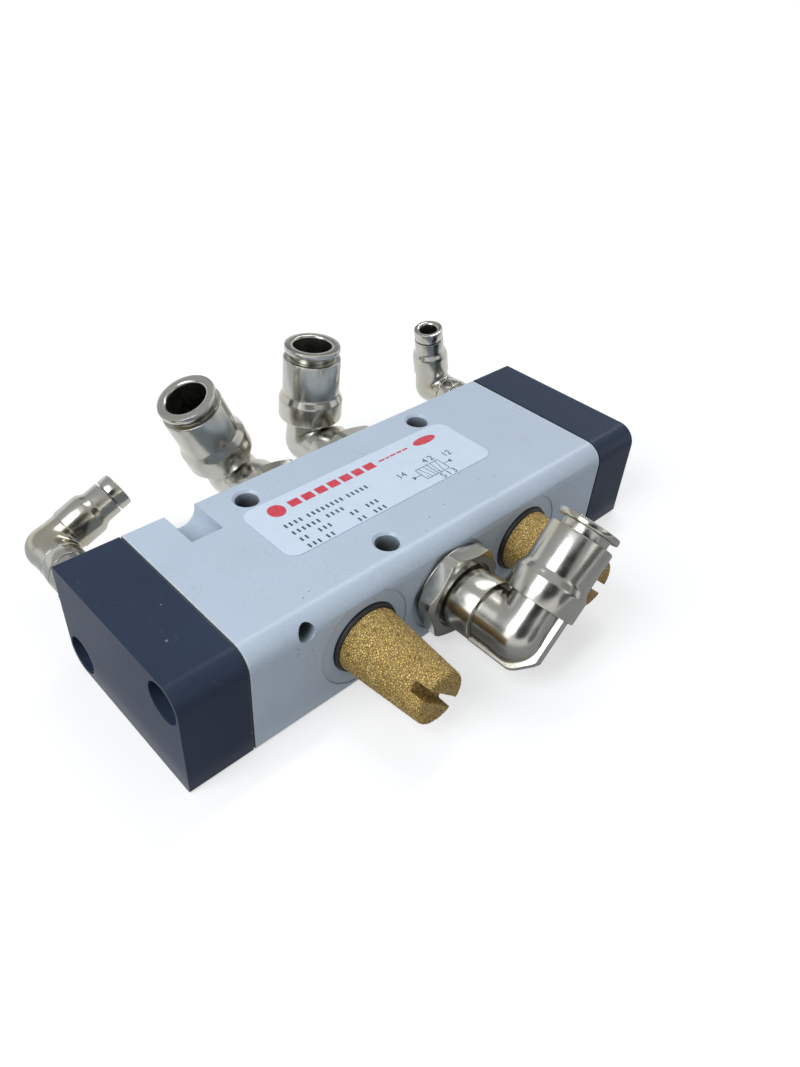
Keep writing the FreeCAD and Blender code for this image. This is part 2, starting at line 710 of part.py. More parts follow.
def fitting_pieces(name, part, washer_thickness, elbow, place):
    """All pieces of one swivel elbow, seated at its port."""
    origin, outward, arm = place
    corner = swivel_stations(part, washer_thickness)["corner"]
    arm_origin = origin + outward * corner
    hex_turn = math.radians(hex_turn_angle)
    hex_side = Vector(math.cos(hex_turn), 0, math.sin(hex_turn))
    return {
        name + "_adapter": seated(fitting_adapter(part, washer_thickness), origin, outward, hex_side),
        name + "_seat_washer": seated(fitting_washer(part, washer_thickness), origin, outward, hex_side),
        name + "_swivel_seal": seated(swivel_seal(part, washer_thickness), origin, outward, hex_side),
        name + "_elbow": seated(elbow, origin, outward, arm),
        name + "_tube_seal": seated(tube_seal(part), arm_origin, arm, outward),
        name + "_collet": seated(collet(part), arm_origin, arm, outward),
    }


def block_pieces():
    """Body, caps, gaskets, screws, label and silencers."""
    front = front_port_height
    port_5 = port_frame(-2 * port_pitch, -1, front, 0, spotface_depth)
    port_3 = port_frame(2 * port_pitch, -1, front, 0, spotface_depth)
    right_cap, right_gasket, right_screws = end_cap(), cap_gasket(), cap_screws()
    return {
        "valve_body": valve_body(),
        "end_cap_right": right_cap, "end_cap_left": mirrored(right_cap),
        "cap_gasket_right": right_gasket, "cap_gasket_left": mirrored(right_gasket),
        "cap_screws_right": right_screws, "cap_screws_left": mirrored(right_screws),
        "name_label": name_label(),
        "silencer_port_5": seated(silencer(silencer_port_5_slot_angle), *port_5),
        "silencer_port_3": seated(silencer(silencer_port_3_slot_angle), *port_3),
    }


def spool_pieces():
    """Spool, pistons and everything that they slide in."""
    pieces = {"spool": spool()}
    for side, end in (("right", 1), ("left", -1)):
        pieces["piston_" + side] = piston(end)
        pieces["piston_seal_" + side] = piston_seal(end)
    pieces["piston_bush_right"] = piston_bush()
    pieces["piston_bush_left"] = mirrored(piston_bush())
    for index, port in enumerate((5, 4, 1, 2, 3)):
        pieces["spool_cage_port_%d" % port] = spool_cage((index - 2) * port_pitch)
    for index in range(6):
        pieces["spool_seal_%d" % (index + 1)] = spool_seal((index - 2.5) * port_pitch)
    return pieces


def fittings():
    """Three port elbows and two pilot elbows."""
    lift = spotface_depth
    pilot_x = cap_end - pilot_port_inset
    front_elbow = port_elbow(port_washer_thickness)
    back_elbow = port_elbow(back_washer_thickness)
    small_elbow = pilot_elbow()
    pieces = {}
    pieces.update(fitting_pieces("port_1", PORT_FITTING, port_washer_thickness, front_elbow,
                                 port_frame(0.0, -1, front_port_height, port_1_angle, lift)))
    pieces.update(fitting_pieces("port_2", PORT_FITTING, back_washer_thickness, back_elbow,
                                 port_frame(port_pitch, 1, mid_height, port_2_angle, lift)))
    pieces.update(fitting_pieces("port_4", PORT_FITTING, back_washer_thickness, back_elbow,
                                 port_frame(-port_pitch, 1, mid_height, port_4_angle, lift)))
    pieces.update(fitting_pieces("pilot_12", PILOT_FITTING, pilot_washer_thickness, small_elbow,
                                 port_frame(pilot_x, 1, mid_height, pilot_12_angle)))
    pieces.update(fitting_pieces("pilot_14", PILOT_FITTING, pilot_washer_thickness, small_elbow,
                                 port_frame(-pilot_x, 1, mid_height, pilot_14_angle)))
    return pieces


def main():
    os.makedirs("parts", exist_ok=True)
    pieces = {}
    pieces.update(block_pieces())
    pieces.update(spool_pieces())
    pieces.update(fittings())
    for name, shape in pieces.items():
        shape.exportStep("parts/" + name + ".step")
        print(name, len(shape.Solids), round(shape.Volume, 2), shape.isValid())


main()
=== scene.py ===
# %% [markdown]
# # A five-port air valve with push-in elbows and cone silencers
# The valve is a block of coated aluminium with a dark cap at each end. Three nickel-plated elbows
# and two small ones turn on stems that are screwed into it, and two bronze cones quiet the exhausts.
# The construction is already made and stays fixed. This script gives it its surfaces: it rebuilds
# the forged elbows with soft edges, grains the cones, prints the label and mixes every finish.
# The new surfaces are worked out in millimetres, and the last step of each makes them metres. The
# stage and the patterns of the finishes are in metres, as the frame is.

# %% Load the fixed frame
import json
import math

import bmesh
import bpy
import numpy as np
from mathutils import Matrix, Quaternion, Vector

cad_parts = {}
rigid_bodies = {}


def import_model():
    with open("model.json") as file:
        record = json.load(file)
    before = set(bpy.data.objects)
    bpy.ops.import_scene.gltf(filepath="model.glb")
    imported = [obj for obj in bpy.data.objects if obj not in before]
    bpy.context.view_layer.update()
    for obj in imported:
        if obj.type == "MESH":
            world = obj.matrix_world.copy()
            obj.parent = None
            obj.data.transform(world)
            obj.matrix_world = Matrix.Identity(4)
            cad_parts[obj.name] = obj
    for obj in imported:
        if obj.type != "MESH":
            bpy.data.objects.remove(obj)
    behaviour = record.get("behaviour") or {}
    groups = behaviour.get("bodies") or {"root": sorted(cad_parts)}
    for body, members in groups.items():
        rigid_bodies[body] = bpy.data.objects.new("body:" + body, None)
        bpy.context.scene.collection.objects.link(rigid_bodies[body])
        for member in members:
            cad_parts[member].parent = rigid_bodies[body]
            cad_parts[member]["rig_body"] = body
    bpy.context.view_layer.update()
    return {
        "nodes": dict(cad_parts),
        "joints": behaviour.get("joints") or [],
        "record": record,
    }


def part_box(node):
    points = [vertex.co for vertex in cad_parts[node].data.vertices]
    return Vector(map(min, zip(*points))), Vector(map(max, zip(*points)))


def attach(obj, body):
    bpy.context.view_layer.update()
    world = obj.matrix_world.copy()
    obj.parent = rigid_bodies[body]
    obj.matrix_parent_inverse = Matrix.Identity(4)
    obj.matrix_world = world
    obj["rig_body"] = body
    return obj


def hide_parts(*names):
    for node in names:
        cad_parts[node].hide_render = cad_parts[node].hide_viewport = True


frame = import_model()
nodes = frame["nodes"]
joints = {joint["name"]: joint for joint in frame["joints"]}
body_of_node = {name: piece["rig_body"] for name, piece in nodes.items()}
slot_of_node = {part["node"]: part["material_slot"] for part in frame["record"]["subparts"]}
MM = 0.001

# %% [markdown]
# The photograph was taken from above the left front corner, close to the valve, with a short lens.
# A camera can be set by eye, but here its place and turn come from matching the block's corners and
# holes, so a point of the frame lands on the same point of the picture.

# %% Camera
CAMERA_PLACE = Vector((-0.08953, -0.08928, 0.11332))
CAMERA_RIGHT = (0.72060, -0.69059, 0.06189)
CAMERA_UP = (0.40090, 0.48782, 0.77544)
CAMERA_BACK = (-0.56570, -0.53397, 0.62838)
LENS = 27.76
SENSOR = 36.0
NEAREST_SEEN = 0.005


def add_object(name, data):
    """A new object, linked into the scene."""
    made = bpy.data.objects.new(name, data)
    bpy.context.scene.collection.objects.link(made)
    return made


camera_data = bpy.data.cameras.new("camera")
camera_data.sensor_fit = "AUTO"
camera_data.sensor_width = SENSOR
camera_data.lens = LENS
camera_data.clip_start = NEAREST_SEEN
camera = add_object("camera", camera_data)
turn = Matrix((CAMERA_RIGHT, CAMERA_UP, CAMERA_BACK)).transposed()
camera.matrix_world = Matrix.Translation(CAMERA_PLACE) @ turn.to_4x4()
bpy.context.scene.camera = camera
bpy.context.scene.view_settings.view_transform = "Standard"
print("camera at", tuple(round(value, 4) for value in CAMERA_PLACE))

# %% [markdown]
# The studio is plain: a pale floor, a white surround and soft lamps. White could come from strong
# lamps, but that would bleach the valve. Here the surround is white only where the camera, a
# reflection or glass looks at it, and the lamps stay at a plain level. The floor glows a little where
# it is looked at, and more far away than near, so the valve still casts a soft shadow on it and the
# far end of the floor runs into the white.

# %% Small helpers for node trees
def add_node(tree, kind, inputs=None, **settings):
    """Adds a shader node, sets its properties, and fills its sockets with values or links."""
    made = tree.nodes.new(kind)
    for name, value in settings.items():
        setattr(made, name, value)
    for key, value in (inputs or {}).items():
        if isinstance(value, bpy.types.NodeSocket):
            tree.links.new(value, made.inputs[key])
        else:
            made.inputs[key].default_value = value
    return made


def combine(tree, operation, first, second=0.0):
    """One arithmetic step. A step on one value leaves the second out."""
    return add_node(tree, "ShaderNodeMath", {0: first, 1: second}, operation=operation).outputs[0]


def spread(tree, value, low, high, to_low, to_high):
    """Maps a value from one range to another, held at the ends."""
    return add_node(tree, "ShaderNodeMapRange", {0: value, 1: low, 2: high, 3: to_low, 4: to_high}).outputs[0]


def opaque(red, green, blue):
    """A colour with full cover."""
    return (red, green, blue, 1.0)


def new_finish(name):
    """A material with an empty node tree, apart from its surface shader and output."""
    finish = bpy.data.materials.new(name)
    finish.use_nodes = True
    tree = finish.node_tree
    return finish, tree, tree.nodes["Principled BSDF"]


def set_inputs(shader, **values):
    """Sets plain sockets by name, with an underscore for each space."""
    for name, value in values.items():
        shader.inputs[name.replace("_", " ")].default_value = value


WHITE = opaque(1, 1, 1)
print("helpers for node trees ready")

# %% Surround and floor
FLOOR_SIZE = 12.0
FLOOR_COLOUR = opaque(0.52, 0.52, 0.52)
NEAR_LIFT, FAR_LIFT = 0.57, 0.90
LIFT_FROM, LIFT_TO = 0.20, 0.80
SURROUND_LIGHT = opaque(0.90, 0.95, 1.0)
SURROUND_STRENGTH = 0.40


def seen_share(tree):
    """Share of 1 for what the camera, a reflection or glass looks at."""
    path = add_node(tree, "ShaderNodeLightPath").outputs
    seen = combine(tree, "MAXIMUM", path["Is Camera Ray"], path["Is Glossy Ray"])
    return combine(tree, "MAXIMUM", seen, path["Is Transmission Ray"])


def white_surround():
    """White where it is seen, and a soft dim sky for the light itself."""
    world = bpy.data.worlds.new("surround")
    bpy.context.scene.world = world
    world.use_nodes = True
    tree = world.node_tree
    tree.nodes.clear()
    light = add_node(tree, "ShaderNodeBackground", {"Color": SURROUND_LIGHT, "Strength": SURROUND_STRENGTH})
    white = add_node(tree, "ShaderNodeBackground", {"Color": WHITE, "Strength": 1.0})
    mixed = add_node(tree, "ShaderNodeMixShader", {0: seen_share(tree), 1: light.outputs[0],
                                                   2: white.outputs[0]})
    add_node(tree, "ShaderNodeOutputWorld", {"Surface": mixed.outputs[0]})


def flat_sheet(name, corners, material):
    """A flat four-cornered sheet, for the floor and the cards."""
    mesh = bpy.data.meshes.new(name)
    mesh.from_pydata(corners, [], [(0, 1, 2, 3)])
    sheet = add_object(name, mesh)
    mesh.materials.append(material)
    return sheet


def pale_floor():
    """A wide floor that reads white where it is seen and still takes the valve's shadow. Its glow
    grows with the distance from the valve."""
    finish, tree, shader = new_finish("pale_floor")
    grain = add_node(tree, "ShaderNodeTexNoise", {"Scale": 40.0, "Detail": 3.0}).outputs[0]
    tone = spread(tree, grain, 0.0, 1.0, 0.99, 1.01)
    colour = add_node(tree, "ShaderNodeMixRGB", {0: 1.0, 1: FLOOR_COLOUR, 2: tone}, blend_type="MULTIPLY")
    tree.links.new(colour.outputs[0], shader.inputs["Base Color"])
    set_inputs(shader, Roughness=0.9, Specular_IOR_Level=0.1)
    place = add_node(tree, "ShaderNodeTexCoord").outputs["Object"]
    distance = add_node(tree, "ShaderNodeVectorMath", {0: place}, operation="LENGTH").outputs["Value"]
    lift = combine(tree, "MULTIPLY", seen_share(tree),
                   spread(tree, distance, LIFT_FROM, LIFT_TO, NEAR_LIFT, FAR_LIFT))
    glow = add_node(tree, "ShaderNodeEmission", {"Color": WHITE, "Strength": lift})
    total = add_node(tree, "ShaderNodeAddShader", {0: shader.outputs[0], 1: glow.outputs[0]})
    tree.links.new(total.outputs[0], tree.nodes["Material Output"].inputs["Surface"])
    half = FLOOR_SIZE / 2
    flat_sheet("floor", [(-half, -half, 0), (half, -half, 0), (half, half, 0), (-half, half, 0)], finish)


white_surround()
pale_floor()
print("floor", FLOOR_SIZE, "m wide, white from", LIFT_TO, "m away")

# %% [markdown]
# One soft lamp above and two weaker ones give the block its even light, and a long strip draws the
# line of light along its rounded edge. Polished nickel is shaped by what it mirrors. More lamps would
# give it bright spots only, so matte cards stand round it, and mats lie beside it. Only reflections
# see them. The ceiling card glows a little, because the back fittings mirror it from below.

# %% Lamps, cards and mats
def facing_valve(place):
    """A turn that points local -Z from a place to the valve."""
    return (-Vector(place)).to_track_quat("-Z", "Y")


def lamp(name, place, size, power):
    """A soft square lamp that looks straight down."""
    data = bpy.data.lights.new(name, "AREA")
    data.size = size
    data.energy = power
    made = add_object(name, data)
    made.location = place
    return made


def aimed_lamp(name, place, size, power, tint):
    """A lamp with a tint, aimed at the valve."""
    made = lamp(name, place, size, power)
    made.data.color = tint
    made.rotation_euler = facing_valve(place).to_euler()


def strip_lamp(name, place, length, width, power):
    """A narrow lamp along X that looks straight down."""
    made = lamp(name, place, length, power)
    made.data.shape = "RECTANGLE"
    made.data.size_y = width


def card_finish(name, shade, glow=0.0):
    """Matte card, which may glow a little."""
    finish, tree, shader = new_finish(name)
    grain = add_node(tree, "ShaderNodeTexNoise", {"Scale": 6.0}).outputs[0]
    tree.links.new(spread(tree, grain, 0.0, 1.0, shade * 0.7, shade * 1.3), shader.inputs["Base Color"])
    set_inputs(shader, Roughness=0.9, Specular_IOR_Level=0.0, Emission_Color=WHITE, Emission_Strength=glow)
    return finish


def screen(name, place, width, height, finish, level=False):
    """A card that faces the valve, or lies level, and shows in reflections only."""
    spin = Quaternion() if level else facing_valve(place)
    across, up = spin @ Vector((width / 2, 0, 0)), spin @ Vector((0, height / 2, 0))
    middle = Vector(place)
    corners = [middle - across - up, middle + across - up, middle + across + up, middle - across + up]
    card = flat_sheet(name, corners, finish)
    card.visible_camera = False
    card.visible_diffuse = False
    card.visible_shadow = False


aimed_lamp("overhead_lamp", (-0.30, 0.0, 0.34), 0.22, 1.03, (0.92, 0.96, 1.0))
aimed_lamp("left_lamp", (-0.70, 0.05, 0.30), 0.30, 0.45, (1.0, 0.98, 0.96))
aimed_lamp("front_lamp", (0.10, -0.70, 0.30), 0.30, 0.25, (1.0, 0.98, 0.95))
strip_lamp("edge_lamp", (0.31, 0.10, 0.40), 0.50, 0.03, 0.75)
black_card, grey_card = card_finish("black_card", 0.02), card_finish("grey_card", 0.20)
ceiling_card, shade_mat_card = card_finish("ceiling_card", 0.80, 0.34), card_finish("shade_mat_card", 0.46)
side_card = card_finish("side_card", 0.66)
screen("camera_screen", (-0.28, -0.30, 0.34), 0.34, 0.30, black_card)
screen("front_screen", (0.12, -0.62, 0.14), 0.70, 0.22, grey_card)
screen("upper_screen", (0.34, -0.30, 0.40), 0.36, 0.26, black_card)
screen("back_screen", (0.42, 0.52, 0.42), 0.60, 0.30, side_card)
screen("side_screen", (-0.55, 0.30, 0.16), 0.16, 0.30, black_card)
screen("ceiling_screen", (0.0, 0.0, 0.90), 4.0, 4.0, ceiling_card, level=True)
# The two mats are painted shade: grey sheets just over the floor in front of and left of the valve, standing
# for its shaded floor in reflections only.
screen("left_shade_mat", (-0.2580, -0.05, 0.0004), 0.40, 0.60, side_card, level=True)
screen("front_shade_mat", (0.0820, -0.220, 0.0004), 0.28, 0.40, shade_mat_card, level=True)
print("lamps", len(bpy.data.lights))

# %% [markdown]
# Every new surface is a grid of points worked out with arrays: rows follow a profile or a path, and
# columns go round it. These helpers turn such a grid into a closed mesh whose faces point outwards.
# The sharp turned edges are small arcs in the profile, so light catches them as on the real metal.

# %% Grids of points into meshes
SHARP_ANGLE = math.radians(38)


def grid_faces(rows, columns):
    """Quads between neighbouring points of a grid whose last lines join its first ones, both ways."""
    i, j = np.meshgrid(np.arange(rows), np.arange(columns), indexing="ij")
    i_next, j_next = (i + 1) % rows, (j + 1) % columns
    quads = np.stack([i * columns + j, i * columns + j_next,
                      i_next * columns + j_next, i_next * columns + j], axis=-1)
    return quads.reshape(-1, 4)


def signed_volume(points, quads):
    """Six times the volume inside the quads, each cut in two triangles, negative when they face inwards."""
    a, b, c, d = (points[quads[:, k]] for k in range(4))
    return np.einsum("ij,ij->", a, np.cross(b, c)) + np.einsum("ij,ij->", a, np.cross(c, d))


def mesh_from_grid(name, grid):
    """Mesh of a (rows, columns, 3) grid in millimetres, with its faces turned outwards."""
    rows, columns = grid.shape[:2]
    points = grid.reshape(-1, 3)
    quads = grid_faces(rows, columns)
    if signed_volume(points, quads) < 0:
        quads = quads[:, ::-1]
    mesh = bpy.data.meshes.new(name)
    mesh.vertices.add(len(points))
    mesh.vertices.foreach_set("co", (points * MM).astype(np.float32).ravel())
    mesh.loops.add(quads.size)
    mesh.loops.foreach_set("vertex_index", quads.astype(np.int32).ravel())
    mesh.polygons.add(len(quads))
    mesh.polygons.foreach_set("loop_start", np.arange(0, quads.size, 4, dtype=np.int32))
    mesh.update(calc_edges=True)
    mesh.validate()
    return mesh


def add_piece(name, mesh, finish, node_name, sharp_angle=SHARP_ANGLE):
    """Links a finished mesh as a piece of its own, on the body of a node."""
    piece = add_object(name, mesh)
    mesh.shade_smooth()
    mesh.set_sharp_from_angle(angle=sharp_angle)
    mesh.materials.clear()
    mesh.materials.append(finish)
    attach(piece, body_of_node[node_name])
    return piece


def show_piece(name, mesh, finish, node_name, sharp_angle=SHARP_ANGLE):
    """Adds a piece that stands for a node of the frame."""
    piece = add_piece(name, mesh, finish, node_name, sharp_angle)
    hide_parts(node_name)
    return piece


print("a grid of 3 by 4 points has", len(grid_faces(3, 4)), "faces")

# %% Profiles with rounded corners
ARC_STEPS = 3
LONGEST_SHARE = 0.45
RING_COLUMNS = 96


def rounded(profile):
    """Replaces each (station, radius, rounding) corner of a closed profile by a short arc.
    The arc is a quadratic curve from one side of the corner to the other, pulled to the corner itself."""
    corners = np.array([point[:2] for point in profile], float)
    size = np.array([point[2] for point in profile], float)[:, None]
    before = np.roll(corners, 1, axis=0) - corners
    after = np.roll(corners, -1, axis=0) - corners
    length_before = np.linalg.norm(before, axis=1, keepdims=True)
    length_after = np.linalg.norm(after, axis=1, keepdims=True)
    start = corners + before / length_before * np.minimum(size, LONGEST_SHARE * length_before)
    end = corners + after / length_after * np.minimum(size, LONGEST_SHARE * length_after)
    share = np.linspace(0, 1, ARC_STEPS)[None, :, None]
    arcs = ((1 - share) ** 2 * start[:, None] + 2 * share * (1 - share) * corners[:, None]
            + share ** 2 * end[:, None])
    keep = np.ones(arcs.shape[:2], bool)
    keep[size[:, 0] == 0, 1:] = False
    return arcs[keep]


def turned_grid(outline):
    """A profile of (station, radius) points carried round local Z."""
    angle = np.linspace(0, 2 * np.pi, RING_COLUMNS, endpoint=False)
    radius, station = outline[:, 1:2], outline[:, 0:1]
    return np.stack([radius * np.cos(angle), radius * np.sin(angle),
                     np.broadcast_to(station, (len(outline), RING_COLUMNS))], axis=-1)


def seated(grid, origin, outward, sideways):
    """Moves a local grid to its seat: local Z goes along outward and local X along sideways."""
    outward, sideways = np.array(outward, float), np.array(sideways, float)
    basis = np.stack([sideways, np.cross(outward, sideways), outward])
    return grid @ basis + np.array(origin, float)


square = [(0, 1, 0.1), (0, 2, 0.1), (1, 2, 0.1), (1, 1, 0.1)]
print("a square with rounded corners has", len(rounded(square)), "points")

# %% [markdown]
# The elbows are hot-forged brass with turned ends, plated with nickel. Each has a sleeve that turns
# on its stem, a slim corner with a flat rim round its outside, and a stepped arm that takes the tube.
# Joining cylinders with boolean cuts would leave knife edges in the corner. Here the skin is cast by
# rays instead: sections stand across a path that bends round the corner, and in each section rays
# run outwards until they leave the solid. The solid is a soft union of two rods and the rim, so the
# crotch gets the small fillet of a forging, and the columns of the grid follow the rim's edges.

# %% The solid that the rays leave
RIM_SOFTNESS = 0.12
HALVINGS = 32


def soft_union(first, second, width):
    """Lower of two distances, blended where they differ by less than the width."""
    share = np.clip(0.5 + 0.5 * (second - first) / width, 0, 1)
    return second + (first - second) * share - width * share * (1 - share)


def rod_distance(along, across, slim):
    """Distance to a round rod that starts with a ball at zero and runs towards negative along."""
    return np.sqrt(np.maximum(along, 0) ** 2 + across) - slim


def elbow_distance(p, q, n, shape):
    """Distance outside an elbow's corner: p runs along the arm, q along the sleeve towards the corner
    and n square to both. Two rods meet in a ball, and the rim is a plate with its corner cut off."""
    slim = shape["slim"]
    rods = soft_union(rod_distance(q, p ** 2 + n ** 2, slim),
                      rod_distance(-p, q ** 2 + n ** 2, slim), shape["crotch"])
    if shape["rim_reach"] == 0:
        return rods
    reach, cut = shape["rim_reach"], shape["rim_cut"]
    outline = np.maximum.reduce([-p - reach, q - reach, (q - p - 2 * reach + cut) / math.sqrt(2),
                                 np.minimum(p, -q)])
    plate = -soft_union(-outline, shape["rim_thickness"] / 2 - np.abs(n), RIM_SOFTNESS)
    return soft_union(rods, plate, shape["rim_fillet"])


def ray_reach(centre, outwards, angles, shape, bend):
    """Radius at which rays leave the solid: halving steps between the path and a point outside."""
    low = np.zeros(angles.shape)
    high = np.full(angles.shape, 3.0 * shape["slim"])
    inward = np.cos(angles) < -1e-6
    high[inward] = np.minimum(high[inward], bend / -np.cos(angles[inward]))
    for _ in range(HALVINGS):
        middle = (low + high) / 2
        step = middle * np.cos(angles)
        p = centre[:, 0:1] + step * outwards[:, 0:1]
        q = centre[:, 1:2] + step * outwards[:, 1:2]
        inside = elbow_distance(p, q, middle * np.sin(angles), shape) < 0
        low, high = np.where(inside, middle, low), np.where(inside, high, middle)
    return (low + high) / 2


print("two surfaces 1 mm away blend to", soft_union(1.0, 1.0, 0.8), "mm")

# %% The elbow's path, columns and skin
BEND_STEPS = 22
RIMMED_COLUMNS = 30
RIMLESS_COLUMNS = 44


def path_frames(stations, bend):
    """Centre and outward direction at each station. Below -bend the path runs up the sleeve, above
    +bend along the arm, and between them it is a quarter circle about the crotch point."""
    share = np.clip((stations + bend) / (2 * bend), 0, 1)
    turn_angle = share * np.pi / 2
    centre = np.stack([bend * (1 - np.cos(turn_angle)) + np.maximum(stations - bend, 0),
                       bend * (np.sin(turn_angle) - 1) + np.minimum(stations + bend, 0)], axis=1)
    outwards = np.stack([-np.cos(turn_angle), np.sin(turn_angle)], axis=1)
    return centre, outwards


def column_angles(centre, outwards, shape, bend):
    """Angles of the columns in each section, crowded where the rim's edges and its root lie."""
    zero = np.zeros((len(centre), 1))
    if shape["rim_reach"] == 0:
        half = np.linspace(0, np.pi, RIMLESS_COLUMNS)[None, :] + zero
    else:
        bare = dict(shape, rim_reach=0)
        side = shape["rim_thickness"] / 2
        edge = np.arcsin(side / ray_reach(centre, outwards, zero, shape, bend))
        root = np.arcsin(side / ray_reach(centre, outwards, zero, bare, bend))
        over_edge = edge * np.array([0, 0.3, 0.6, 0.82, 0.92, 0.98])
        wall = edge + (root - edge) * np.array([0.05, 0.3, 0.7, 0.95])
        foot = root * np.array([1.04, 1.12, 1.25, 1.5, 1.9])
        rest = root * 2.4 + (np.pi - root * 2.4) * np.linspace(0, 1, RIMMED_COLUMNS)
        half = np.concatenate([over_edge, wall, foot, rest], axis=1)
    return np.concatenate([half, -half[:, -2:0:-1]], axis=1)


def elbow_grid(outer, inner, shape):
    """Closed skin of an elbow. Outer rows take the larger of the turned profile and the rays' reach,
    where a profile radius of zero leaves the rays alone. Inner rows are plain rings along the path."""
    bend = shape["bend"]
    corner = np.stack([np.linspace(-bend, bend, BEND_STEPS), np.zeros(BEND_STEPS)], axis=1)
    outer = np.concatenate([outer[outer[:, 0] < -bend], corner, outer[outer[:, 0] > bend]])
    centre, outwards = path_frames(outer[:, 0], bend)
    angles = column_angles(centre, outwards, shape, bend)
    reach = ray_reach(centre, outwards, angles, shape, bend)
    turned_only = (outer[:, 0] < shape["rays_from"]) | (outer[:, 0] > shape["rays_to"])
    reach[turned_only] = 0
    radius = np.maximum(reach, outer[:, 1:2])
    hollow_corner = corner[::-1] + [0, shape["flow"]]
    inner = np.concatenate([inner[inner[:, 0] > bend], hollow_corner, inner[inner[:, 0] < -bend]])
    inner_centre, inner_outwards = path_frames(inner[:, 0], bend)
    centre = np.concatenate([centre, inner_centre])
    outwards = np.concatenate([outwards, inner_outwards])
    plain = np.broadcast_to(angles[-1], (len(inner), angles.shape[1]))
    angles = np.concatenate([angles, plain])
    radius = np.concatenate([radius, inner[:, 1:2] + np.zeros(plain.shape)])
    across = radius * np.cos(angles)
    p = centre[:, 0:1] + across * outwards[:, 0:1]
    q = centre[:, 1:2] + across * outwards[:, 1:2]
    return np.stack([p, radius * np.sin(angles), q], axis=-1)


print("sections round the corner", BEND_STEPS)

# %% The two kinds of elbow
PORT_ELBOW = {"slim": 5.2, "crotch": 0.7, "bend": 5.9, "flow": 3.3, "rays_from": -6.71, "rays_to": 6.31,
              "rim_reach": 6.2, "rim_cut": 3.6, "rim_thickness": 2.4, "rim_fillet": 0.25}
PORT_OUTSIDE = [(-13.1, 4.95, 0), (-13.1, 6.2, 0.2), (-6.7, 6.2, 0.35), (-6.7, 0, 0),
                (6.3, 0, 0), (6.3, 7.0, 0.3), (10.7, 7.0, 0.3), (12.2, 6.2, 0.4),
                (20.3, 6.2, 0.45), (20.3, 4.8, 0)]
PORT_INSIDE = [(19.1, 4.8, 0), (18.45, 5.45, 0), (12.6, 5.45, 0), (12.6, 4.1, 0), (8.0, 4.1, 0),
               (8.0, 3.3, 0), (-6.9, 3.3, 0), (-6.9, 4.95, 0), (-11.1, 4.95, 0), (-11.1, 4.4, 0),
               (-11.8, 4.4, 0), (-11.8, 4.95, 0)]
PILOT_ELBOW = {"slim": 4.05, "crotch": 0.9, "bend": 4.5, "flow": 1.5, "rays_from": -5.2, "rays_to": 4.81,
               "rim_reach": 0, "rim_cut": 0, "rim_thickness": 0, "rim_fillet": 0}
PILOT_OUTSIDE = [(-8.6, 3.05, 0), (-8.6, 4.25, 0.15), (-7.6, 4.25, 0.3), (-5.1, 4.05, 0.5), (-4.9, 0, 0),
                 (4.8, 0, 0), (4.8, 4.3, 0.25), (9.8, 4.3, 0.5), (11.0, 3.5, 0.4),
                 (14.1, 3.5, 0.15), (14.1, 2.65, 0)]
PILOT_INSIDE = [(13.1, 2.65, 0), (12.75, 3.0, 0), (7.6, 3.0, 0), (7.6, 2.1, 0), (5.0, 2.1, 0),
                (5.0, 1.5, 0), (-4.6, 1.5, 0), (-4.6, 3.05, 0), (-7.4, 3.05, 0), (-7.4, 2.5, 0),
                (-8.1, 2.5, 0), (-8.1, 3.05, 0)]
FITTINGS = ("port_1", "port_2", "port_4", "pilot_12", "pilot_14")


def fitting_seat(name):
    """Corner point in millimetres, outward axis and arm direction of a fitting, from its joints."""
    corner = np.array(joints[name + "_swivel_turn"]["pos_m"]) / MM
    arm = np.array(joints[name + "_release_press"]["axis"])
    return corner, np.array((0.0, np.sign(corner[1]), 0.0)), arm


def make_elbows(finish):
    """All five elbows, each seated by its own joints."""
    for name in FITTINGS:
        if name.startswith("port"):
            grid = elbow_grid(rounded(PORT_OUTSIDE), rounded(PORT_INSIDE), PORT_ELBOW)
        else:
            grid = elbow_grid(rounded(PILOT_OUTSIDE), rounded(PILOT_INSIDE), PILOT_ELBOW)
        corner, outward, arm = fitting_seat(name)
        mesh = mesh_from_grid(name + "_elbow_forging", seated(grid, corner, outward, arm))
        show_piece(name + "_elbow_forging", mesh, finish, name + "_elbow")
        print(name, "elbow", len(mesh.polygons), "faces")


print("corner of port 1's elbow at", fitting_seat("port_1")[0].round(2))

# %% [markdown]
# Below each elbow sits the adapter: a threaded foot, a hexagon for the spanner and a stem. On the
# real one the hexagon bar is turned in a lathe, which rounds its corners and leaves a curved edge on
# each flat. A cut-up cylinder would lose that curve, so here every column of the grid has its own
# heights: it climbs the flat to where the lathe's cone meets it, then follows the cone inwards.

# %% Hexagon adapters
PORT_ADAPTER = {"foot": -8.0, "thread": 6.53, "flow": 3.3, "flats": 17.0, "turned": 9.415,
                "height": 3.7, "hub": 4.9, "hub_length": 0.0, "recess": 6.75, "recess_depth": 0.8,
                "stem": 4.9, "stem_length": 5.4, "washer": 8.215}
PILOT_ADAPTER = {"foot": -4.5, "thread": 2.45, "flow": 1.5, "flats": 9.0, "turned": 4.946,
                 "height": 3.6, "hub": 4.25, "hub_length": 4.5, "recess": 4.25, "recess_depth": 0.0,
                 "stem": 3.0, "stem_length": 4.0, "washer": 4.296}
CORNER_HEIGHT = {"port": 12.5, "pilot": 8.8}
HEXAGON_TURN = math.radians(50.0)
EDGE = 0.3
HALF_FLAT_COLUMNS = 7
HEX_SHARP = math.radians(14)


